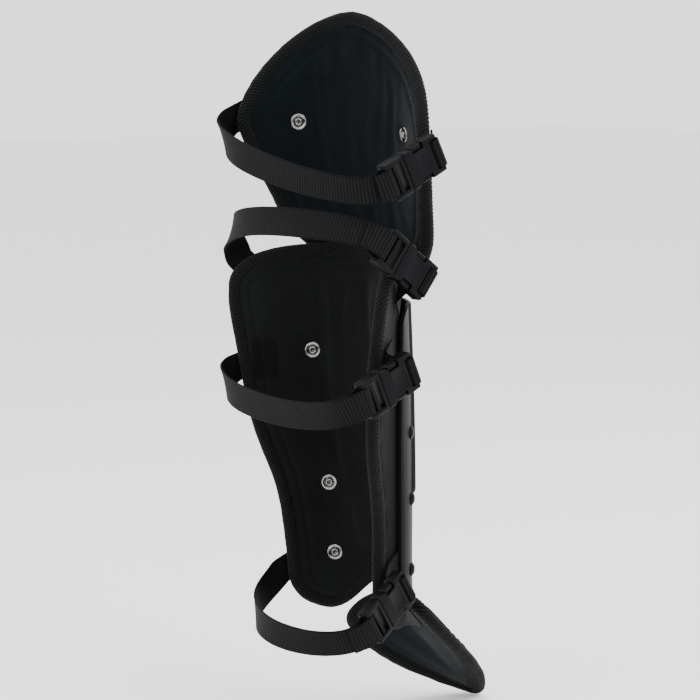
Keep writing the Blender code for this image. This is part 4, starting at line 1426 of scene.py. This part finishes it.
def female_body():
    """The sleeve half: side windows, a shallow panel and an end bar."""
    half, thick = BUCKLE_WIDTH / 2, BUCKLE_THICK / 2
    front = (MALE_LENGTH + FEMALE_LENGTH) / 2
    mouth = front - FEMALE_LENGTH
    slot_half = WEB_WIDTH / 2 + GAP
    reach = thick + CUT_PAST
    body = block("female", (mouth, -half, -thick), (front, half, thick), 0.0013)
    cut(body, (mouth - CUT_PAST, -(half - SLEEVE_WALL), -(thick - SLEEVE_WALL)),
        (mouth + PRONG_LENGTH + 0.0006, half - SLEEVE_WALL, thick - SLEEVE_WALL))
    slot = front - BAR_WIDTH - SLOT_WIDTH
    cut(body, (slot, -slot_half, -reach), (front - BAR_WIDTH, slot_half, reach))
    cut(body, (front - BAR_WIDTH - CUT_PAST, -slot_half, 0.0046),
        (front + CUT_PAST, slot_half, reach))
    window = mouth + 0.0100
    for side in (-1, 1):
        cut(body, (window, min(side * 0.0116, side * 0.02), -reach),
            (window + WINDOW_LENGTH, max(side * 0.0116, side * 0.02), reach))
        take_away(body, post("cut", (window - 0.0005, side * (half + 0.0028), 0), 0.0046,
                             2 * reach))
    for top in (-1, 1):
        low, high = sorted((top * (thick - 0.0005), top * reach))
        cut(body, (mouth + 0.0115, -0.0092, low), (mouth + 0.0255, 0.0092, high))
    soften_edges(body, 0.00045)
    return body


# Rivets

# Each ring's radius and height, from the edge inwards
WASHER_STEPS = ((0.0070, 0.0009), (0.0064, 0.00105), (0.0056, 0.0008), (0.0048, 0.00045),
                (0.0036, 0.0004), (0.0034, 0.0014), (0.0030, 0.0019), (0.0024, 0.0020),
                (0.0020, 0.0016), (0.0017, 0.0008), (0.0012, 0.0005))
CAP_STEPS = ((0.0056, 0.0010), (0.0052, 0.0010), (0.0050, 0.0013), (0.0043, 0.0019),
             (0.0032, 0.0024), (0.0020, 0.0026), (0.0008, 0.0027))
# Inner and outer radius of the eye and of the groove, the rings that the metal finish paints
# with shade
WASHER_SHADED_HOLLOWS = ((0.0, 0.0014), (0.0033, 0.0050))


def pressed(name, radius, thick, steps, hollows=(), corners=36):
    """A turned piece: a disc whose upper face is stepped in ring by ring.
    Its sunken rings are marked, so that the metal finish paints shade there."""
    clear_selection()
    bpy.ops.mesh.primitive_cylinder_add(vertices=corners, radius=radius, depth=thick,
                                        location=(0, 0, thick / 2))
    bpy.ops.object.transform_apply(location=True, rotation=False, scale=True)
    piece = primitive(name)
    bpy.ops.object.mode_set(mode="EDIT")
    bpy.ops.mesh.select_all(action="DESELECT")
    bpy.ops.object.mode_set(mode="OBJECT")
    for face in piece.data.polygons:
        face.select = face.normal.z > 0.9
    bpy.ops.object.mode_set(mode="EDIT")
    bpy.ops.mesh.select_mode(type="FACE")
    now_radius, now_height = radius, thick
    for to_radius, to_height in steps:
        bpy.ops.mesh.inset(thickness=now_radius - to_radius, depth=to_height - now_height)
        now_radius, now_height = to_radius, to_height
    bpy.ops.object.mode_set(mode="OBJECT")
    bevel = piece.modifiers.new("Soft edges", "BEVEL")
    bevel.width = 0.00018
    bevel.segments = 2
    bevel.limit_method = "ANGLE"
    bevel.angle_limit = math.radians(30)
    apply_all(piece)
    smooth(piece, 50)
    # Marks the sunken rings, which the metal finish paints darker as painted shade
    marks = piece.data.attributes.new("hollow_shade", "FLOAT", "POINT")
    marks.data.foreach_set("value", [
        float(any(low < math.hypot(v.co.x, v.co.y) < high for low, high in hollows))
        for v in piece.data.vertices])
    return piece


def rivet_frame(pattern, side, up):
    step = 0.002
    origin = pattern.place(side, up, 0.0)
    across = (pattern.place(side + step, up, 0.0)
              - pattern.place(side - step, up, 0.0)).normalized()
    rise = (pattern.place(side, up + step, 0.0)
            - pattern.place(side, up - step, 0.0)).normalized()
    out = across.cross(rise).normalized()
    if out.dot(pattern.place(side, up, step) - origin) < 0:
        out = -out
    made = Matrix((across, out.cross(across), out)).transposed().to_4x4()
    made.translation = origin
    return made


# Operators: one for each piece or group of like pieces

class GuardSizes(bpy.types.PropertyGroup):
    voxel: FloatProperty(name="Padding mesh", default=0.0045, unit="LENGTH",
                         description="Mesh size of the padding before it swells")
    puff: FloatProperty(name="Padding crown", default=0.0022, unit="LENGTH",
                        description="How far the padding's inner face stands up")
    swell_cap: FloatProperty(name="Most swelling", default=0.0030, unit="LENGTH",
                             description="The furthest that the padding may swell")
    seam_inset: FloatProperty(name="Seam inset", default=0.0125, unit="LENGTH",
                              description="Distance of the sewn line from the padding's edge")
    rib_pitch: FloatProperty(name="Rib pitch", default=0.0030, unit="LENGTH",
                             description="Distance between the webbing's ribs")
    rib_height: FloatProperty(name="Rib height", default=0.00028, unit="LENGTH",
                              description="How far the webbing's ribs stand up")
    stitch_pitch: FloatProperty(name="Stitch pitch", default=0.0040, unit="LENGTH",
                                description="Distance from one stitch to the next")
    stitch_length: FloatProperty(name="Stitch length", default=0.0030, unit="LENGTH",
                                 description="Length of one stitch")
    thread: FloatProperty(name="Thread", default=0.0008, unit="LENGTH",
                          description="Thickness of the sewing thread")


def colour(name, red, green, blue, words):
    return FloatVectorProperty(name=name, subtype="COLOR", size=3, min=0, max=1,
                               default=(red, green, blue), description=words)


class GuardLooks(bpy.types.PropertyGroup):
    knee_dark: colour("Knee cloth, hollows", 0.0004, 0.0008, 0.0011, "Darkest knee cloth")
    knee_light: colour("Knee cloth, fibres", 0.0034, 0.0062, 0.0082, "Lightest knee cloth")
    shin_dark: colour("Shin cloth, hollows", 0.0013, 0.0016, 0.0014, "Darkest shin cloth")
    shin_light: colour("Shin cloth, threads", 0.0084, 0.0100, 0.0091, "Lightest shin cloth")
    # The edge tape's dark colour fills the twill's grooves as painted shade, its light colour
    # the ridges as a painted highlight
    tape_dark: colour("Edge tape, hollows", 0.0004, 0.0005, 0.0005, "Darkest edge tape")
    tape_light: colour("Edge tape, ridges", 0.0062, 0.0068, 0.0070, "Lightest edge tape")
    # The webbing's dark colour fills the gaps between its ribs as painted shade, its light
    # colour their tops as a painted highlight
    web_dark: colour("Webbing, hollows", 0.0004, 0.0004, 0.0005, "Darkest webbing")
    web_light: colour("Webbing, ribs", 0.0074, 0.0076, 0.0082, "Lightest webbing")
    shell_colour: colour("Plates", 0.0040, 0.0040, 0.0043, "The glossy plates")
    buckle_dark: colour("Buckles", 0.0008, 0.0009, 0.0013, "The buckles' plastic")
    buckle_light: colour("Buckles, worn", 0.0034, 0.0037, 0.0046, "The plastic where it is worn")
    floor_colour: colour("Floor", 0.94, 0.94, 0.94, "The studio floor")
    knit_pitch: FloatProperty(name="Knit pitch", default=0.0011, unit="LENGTH",
                              description="Distance between rows of the brushed knit")
    weave_pitch: FloatProperty(name="Weave pitch", default=0.0013, unit="LENGTH",
                               description="Distance between threads of the shin cloth")


MADE = {}


def sew_pad(name, pattern, skin, inset, sizes):
    """A sewn line that follows a pad's edge on its inner face."""
    loop, ways = rim_loop(pattern.outline, 0.0015)
    flat = [(s - inset * a, z - inset * b) for (s, z), (a, b) in zip(loop, ways)]
    return stitch_rows(name, [skin.path(flat + flat[:1], 0.0001)], sizes.stitch_pitch,
                       sizes.stitch_length, sizes.thread)


class GUARD_OT_pads(bpy.types.Operator):
    """Makes the knee, shin and foot padding"""
    bl_idname = "guard.pads"
    bl_label = "Padding"

    def execute(self, context):
        sizes = context.scene.guard_sizes
        seam = ((sizes.seam_inset, 0.0016, 0.0013),)
        MADE["knee"] = build_pad("knee_pad", KneePattern, 64, 60, knee_rivets(), seam,
                                 "knee_cloth", "knee_fabric", "knee_liner", sizes.puff)
        MADE["shin"] = build_pad("shin_pad", ShinPattern, 72, 88, shin_rivets(), seam,
                                 "shin_cloth", "shin_fabric", "shin_liner", sizes.puff)
        MADE["foot"] = build_pad("foot_pad", FootPattern, 44, 60, [],
                                 ((FOOT_SEAM_INSET, 0.0012, 0.0008),), "foot_cloth",
                                 "foot_fabric", "foot_liner", 0.6 * sizes.puff)
        return {"FINISHED"}


class GUARD_OT_tapes(bpy.types.Operator):
    """Folds tape over the edge of each panel"""
    bl_idname = "guard.tapes"
    bl_label = "Edge tape"

    def execute(self, context):
        tape_ring("knee_tape", KneePattern, "knee_binding")
        tape_ring("shin_tape", ShinPattern, "shin_binding")
        tape_ring("foot_tape", FootPattern, "foot_binding")
        return {"FINISHED"}


class GUARD_OT_sewing(bpy.types.Operator):
    """Sews the panels: rows on the tape, seams in the padding and the knee's arc"""
    bl_idname = "guard.sewing"
    bl_label = "Sewing"

    def execute(self, context):
        sizes = context.scene.guard_sizes
        for name, pattern, inset in (("knee", KneePattern, sizes.seam_inset),
                                     ("shin", ShinPattern, sizes.seam_inset),
                                     ("foot", FootPattern, FOOT_SEAM_INSET)):
            skin = Skin(MADE[name], pattern)
            sew_pad(name + "_seam", pattern, skin, inset, sizes)
            rows = [rim_stitches(pattern, PAD_THICK / 2 + way * TAPE_BULGE, way)
                    for way in (-1, 1)]
            stitch_rows(name + "_tape_seam", rows, sizes.stitch_pitch, sizes.stitch_length,
                        sizes.thread)
        skin = Skin(MADE["knee"], KneePattern)
        arc = [(ARC_SIDE * math.sin(t), ARC_UP + ARC_RISE * math.cos(t))
               for t in np.linspace(-1.25, 1.25, 60)]
        stitch_rows("knee_arc", [skin.path(arc, 0.0001)], 0.0062, 0.0040, 0.0009)
        return {"FINISHED"}


class GUARD_OT_plates(bpy.types.Operator):
    """Makes the glossy shin, knee and foot plates"""
    bl_idname = "guard.plates"
    bl_label = "Plates"

    def execute(self, context):
        bent_plate("shin_plate", shell_outline, ShinPattern.place,
                   lambda s, z: PAD_THICK + SHELL_STAND_OFF, 120, 110, shell_relief, "shell",
                   "shell", "shin_shell")
        bent_plate("knee_plate", lambda p, q: KneePattern.outline(p, q, KNEE_SHELL_MARGIN),
                   KneePattern.place, knee_cap_inner, 90, 80, knee_cap_relief, "shell",
                   "shell", "knee_shell")
        bent_plate("foot_plate", foot_plate_outline, FootPattern.place,
                   lambda s, z: PAD_THICK + GAP, 70, 110, boss_relief, "shell", "shell",
                   "foot_shell")
        return {"FINISHED"}


class GUARD_OT_rivets(bpy.types.Operator):
    """Presses one washer and one cap, and sets a copy of each in every rivet's place"""
    bl_idname = "guard.rivets"
    bl_label = "Rivets"

    def execute(self, context):
        washer = pressed("washer", 0.0073, 0.0005, WASHER_STEPS, WASHER_SHADED_HOLLOWS)
        cap = pressed("cap", 0.0060, 0.0007, CAP_STEPS)
        turn_in = Matrix.Rotation(math.pi, 4, "X")
        rivets = [("rivet_knee_" + name, KneePattern, side, up)
                  for name, (side, up) in zip(("far", "near"), knee_rivets())]
        for n, (side, up) in enumerate(shin_rivets()):
            name = "rivet_shin_%s_%d" % ("near" if side > 0 else "far", n // 2 + 1)
            rivets.append((name, ShinPattern, side, up))
        skins = {KneePattern: Skin(MADE["knee"], KneePattern),
                 ShinPattern: Skin(MADE["shin"], ShinPattern)}
        for node, pattern, side, up in rivets:
            place = rivet_frame(pattern, side, up)
            seat = skins[pattern].depth(side, up) - 0.0002
            seat = min(0.0, max(-0.0030, seat))
            inside = copy_piece(washer, node + "_washer",
                                place @ Matrix.Translation((0, 0, seat)) @ turn_in)
            dress(inside, finish_for("metal"), "metal", node)
            if pattern is KneePattern:
                top = knee_cap_inner(side, up) + SHELL_THICK
            else:
                top = PAD_THICK + SHELL_STAND_OFF + SHELL_THICK + shell_relief(side, up)
            outside = copy_piece(cap, node + "_cap",
                                 place @ Matrix.Translation((0, 0, top + 0.0002)))
            dress(outside, finish_for("cap"), "metal")
        for pattern_piece in (washer, cap):
            bpy.data.objects.remove(pattern_piece, do_unlink=True)
        return {"FINISHED"}


class GUARD_OT_buckles(bpy.types.Operator):
    """Models one side-release buckle and sets a copy on each strap"""
    bl_idname = "guard.buckles"
    bl_label = "Buckles"

    def execute(self, context):
        bodies = {"male": male_body(), "female": female_body()}
        for number, _, buckle, _, _ in guard_rows():
            for kind, body in bodies.items():
                piece = copy_piece(body, "clip_%s_%d" % (kind, number), buckle.frame)
                dress(piece, finish_for("buckle"), "buckle",
                      "buckle_%s_%d" % (kind, number))
        for body in bodies.values():
            bpy.data.objects.remove(body, do_unlink=True)
        return {"FINISHED"}


class GUARD_OT_straps(bpy.types.Operator):
    """Lays the webbing: four straps round the leg and four short anchors"""
    bl_idname = "guard.straps"
    bl_label = "Straps"

    def execute(self, context):
        for number, pattern, buckle, strap_row, buckle_row in guard_rows():
            fold = 0.006 if number == 1 else 0.016
            ribbon = Ribbon(strap_path(pattern, buckle, strap_row, buckle_row, fold))
            full = ribbon.length
            webbing("strap_web_%d" % number, ribbon,
                    lambda run: mix(0.08, 1.0, ease(0.36 * full, 0.54 * full, run)),
                    "strap_%d" % number)
            top = WEB_THICK / 2 + 0.0001
            rows = [ribbon.seam(SEWN_BOX, top), ribbon.seam(SEWN_BOX, -top)]
            for run in (0.026, 0.030):
                line = [(run, -0.0105), (run, 0.0105)]
                rows += [ribbon.seam(line, -top), ribbon.seam(line, top)]
            stitch_rows("strap_%d_sewing" % number, rows, *WEB_STITCH)
            near = Ribbon(anchor_path(pattern, buckle, buckle_row))
            webbing("anchor_web_%d" % number, near, lambda run: 1.0, "anchor_%d" % number)
            rows = [near.seam(SEWN_BOX, top), near.seam(SEWN_BOX, -top)]
            stitch_rows("anchor_%d_sewing" % number, rows, *WEB_STITCH)
        return {"FINISHED"}


class GUARD_OT_cloths(bpy.types.Operator):
    """Makes the knee tongue, the label, the foot flap's pile and the foot tab"""
    bl_idname = "guard.cloths"
    bl_label = "Tongue, patches and label"

    def execute(self, context):
        self.tongue()
        self.tab()
        skin = Skin(MADE["shin"], ShinPattern)
        far = -(ShinPattern.half_width(LABEL_UP) - TAPE_WIDTH - LABEL_MARGIN)

        def label_outline(p, q):
            return far + LABEL_WIDTH * (p + 1) / 2, LABEL_UP + LABEL_HEIGHT * (q - 0.5)

        label = patch("label_patch", skin, label_outline, 24, 34, 0.0006, 0.0002, 0.5)
        dress(label, finish_for("label"), "label", "label")
        edge = []
        for p, q in ((-0.88, 0.07), (0.88, 0.07), (0.88, 0.93), (-0.88, 0.93), (-0.88, 0.07)):
            edge.append(label_outline(p, q))
        flat = [(mix(a[0], b[0], k / 24), mix(a[1], b[1], k / 24))
                for a, b in zip(edge, edge[1:]) for k in range(24)]
        stitch_rows("label_sewing", [skin.path(flat, 0.0009)], 0.0026, 0.0018, 0.0006)
        foot = Skin(MADE["foot"], FootPattern)
        pile = patch("foot_pile", foot,
                     lambda p, q: (p * (0.024 - 0.006 * round_drop(2 * q - 1, 2.5)),
                                   mix(0.012, 0.046, q)), 34, 30, 0.0012, 0.0001, 0.4)
        dress(pile, finish_for("pile"), "foot_fabric")
        return {"FINISHED"}

    def tongue(self):
        low = OVER_TAPE
        top = KNEE_BOTTOM + 0.5 * (SHIN_RISE - KNEE_BOTTOM)

        def outline(p, q):
            return (p * TONGUE_WIDTH / 2,
                    mix(TONGUE_DROP + 0.012 * round_drop(p, 3.0), top, q))

        points = []
        columns, rows = 48, 44
        flat = flat_grid(outline, columns, rows)
        for layer in (0, 1):
            for s, z in flat:
                soft = 0.0003 * noise.noise(Vector((s * 40, z * 40, 4.2)))
                points.append(ShinPattern.place(s, z, low + layer * WEB_THICK + soft))
        sheet = mesh_piece("knee_tongue_cloth", points, slab_faces(columns, rows),
                           flat + flat)
        smooth(sheet, 60)
        dress(sheet, finish_for("knee_cloth"), "knee_fabric", "knee_tongue")

    def tab(self):
        low = OVER_TAPE + WEB_SLACK + WEB_THICK / 2
        edge = ShinPattern.outline(0, 0)[1] - TAPE_WIDTH
        heel = FootPattern.outline(0, 0)[1] - TAPE_WIDTH
        above = [ShinPattern.place(0, edge + 0.036 - 0.032 * k / 16, low) for k in range(17)]
        below = [FootPattern.place(0, heel + 0.004 + 0.016 * k / 10, low) for k in range(11)]
        lead_in = above[-1] + (above[-1] - above[-2]).normalized() * 0.006
        lead_out = below[0] + (below[0] - below[1]).normalized() * 0.0065
        between = [bezier((above[-1], lead_in, lead_out, below[0]), k / 12)
                   for k in range(1, 12)]
        stops = [(place, world(1, 0, 0)) for place in above + between + below]
        ribbon = Ribbon(stops, 0.0008)
        points, uvs = [], []
        shares = [k / 6 for k in range(-6, 7)]
        count = len(ribbon.marks)
        for n in range(count):
            for way in (1, -1):
                for share in (shares if way > 0 else shares[::-1]):
                    side = share * TAB_WIDTH / 2
                    bow = (SHIN_RADIUS - math.sqrt(SHIN_RADIUS ** 2 - side ** 2)) * 0.9
                    out = ribbon.out[n] if Vector(ribbon.out[n]).y < 0 else -ribbon.out[n]
                    place = (ribbon.centres[n] + ribbon.across[n] * side
                             + out * (way * WEB_THICK / 2 - bow))
                    points.append(place)
                    uvs.append((float(ribbon.marks[n]), side))
        faces = tube_faces(count, 2 * len(shares))
        piece = mesh_piece("foot_tab_web", points, faces, uvs)
        smooth(piece, 60)
        dress(piece, finish_for("webbing"), "webbing", "foot_tab")


VIEW_AZIMUTH, VIEW_ELEVATION = math.radians(231), math.radians(8.0)
VIEW_TARGET, VIEW_DISTANCE = (0.0165, 0.0204, 0.1275), 1.9
SENSOR, FOCAL_PIXELS, FRAME_PIXELS = 36, 2090, 700
FLOOR_SIZE, STUDIO_LIGHT = 24, 1.9


class GUARD_OT_stage(bpy.types.Operator):
    """Makes the floor, the soft studio light and the camera"""
    bl_idname = "guard.stage"
    bl_label = "Stage"

    def execute(self, context):
        scene = context.scene
        azimuth, elevation = VIEW_AZIMUTH, VIEW_ELEVATION
        back = Vector((math.sin(azimuth) * math.cos(elevation),
                       -math.cos(azimuth) * math.cos(elevation), math.sin(elevation)))
        right = Vector((math.cos(azimuth), math.sin(azimuth), 0))
        target = Vector(VIEW_TARGET)
        data = bpy.data.cameras.new("camera")
        data.sensor_width = SENSOR
        data.lens = SENSOR * FOCAL_PIXELS / FRAME_PIXELS
        data.clip_start = 0.05
        camera = bpy.data.objects.new("camera", data)
        camera.location = target + back * VIEW_DISTANCE
        camera.rotation_euler = (-back).to_track_quat("-Z", "Y").to_euler()
        scene.collection.objects.link(camera)
        scene.camera = camera
        clear_selection()
        bpy.ops.mesh.primitive_grid_add(x_subdivisions=8, y_subdivisions=8, size=FLOOR_SIZE,
                                        location=(0, 0, PACKED_BOX[0][2] - 0.0005))
        floor = primitive("floor")
        move_mesh(floor, floor.matrix_world.copy())
        floor.data.materials.append(finish_for("floor"))
        world_light = bpy.data.worlds.new("studio")
        world_light.use_nodes = True
        ground = world_light.node_tree.nodes["Background"]
        ground.inputs["Color"].default_value = (1, 1, 1, 1)
        ground.inputs["Strength"].default_value = STUDIO_LIGHT
        scene.world = world_light
        lights = (("key", back * 1.2 + right * 1.3 + Vector((0, 0, 1.5)), 1.2, 34),
                  ("fill", back * 1.3 - right * 1.5 + Vector((0, 0, 0.7)), 1.4, 16),
                  ("top", Vector((0, 0, 2.1)), 1.6, 22),
                  ("rim", back * -1.2 + right * 1.4 + Vector((0, 0, 1.0)), 1.0, 5))
        for name, offset, size, power in lights:
            lamp = bpy.data.lights.new(name, "AREA")
            lamp.shape = "DISK"
            lamp.size = size
            lamp.energy = power
            light = bpy.data.objects.new(name, lamp)
            light.location = target + offset
            light.rotation_euler = (-offset).to_track_quat("-Z", "Y").to_euler()
            scene.collection.objects.link(light)
        return {"FINISHED"}


OPERATORS = (GUARD_OT_pads, GUARD_OT_tapes, GUARD_OT_sewing, GUARD_OT_plates,
             GUARD_OT_rivets, GUARD_OT_buckles, GUARD_OT_straps, GUARD_OT_cloths,
             GUARD_OT_stage)


class GUARD_PT_panel(bpy.types.Panel):
    """Lists the steps that dress the leg guard"""
    bl_idname = "GUARD_PT_panel"
    bl_label = "Leg guard"
    bl_space_type = "VIEW_3D"
    bl_region_type = "UI"
    bl_category = "Leg guard"

    def draw(self, context):
        for group in (context.scene.guard_sizes, context.scene.guard_looks):
            box = self.layout.box()
            for key in group.__annotations__:
                box.prop(group, key)
        for operator in OPERATORS:
            self.layout.operator(operator.bl_idname)


CLASSES = (GuardSizes, GuardLooks) + OPERATORS + (GUARD_PT_panel,)


def register():
    for item in CLASSES:
        bpy.utils.register_class(item)
    bpy.types.Scene.guard_sizes = PointerProperty(type=GuardSizes)
    bpy.types.Scene.guard_looks = PointerProperty(type=GuardLooks)


def unregister():
    del bpy.types.Scene.guard_looks
    del bpy.types.Scene.guard_sizes
    for item in reversed(CLASSES):
        bpy.utils.unregister_class(item)


def main():
    register()
    bpy.ops.guard.pads()
    bpy.ops.guard.tapes()
    bpy.ops.guard.plates()
    bpy.ops.guard.sewing()
    bpy.ops.guard.rivets()
    bpy.ops.guard.buckles()
    bpy.ops.guard.straps()
    bpy.ops.guard.cloths()
    bpy.ops.guard.stage()
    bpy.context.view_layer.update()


if __name__ == "__main__":
    main()
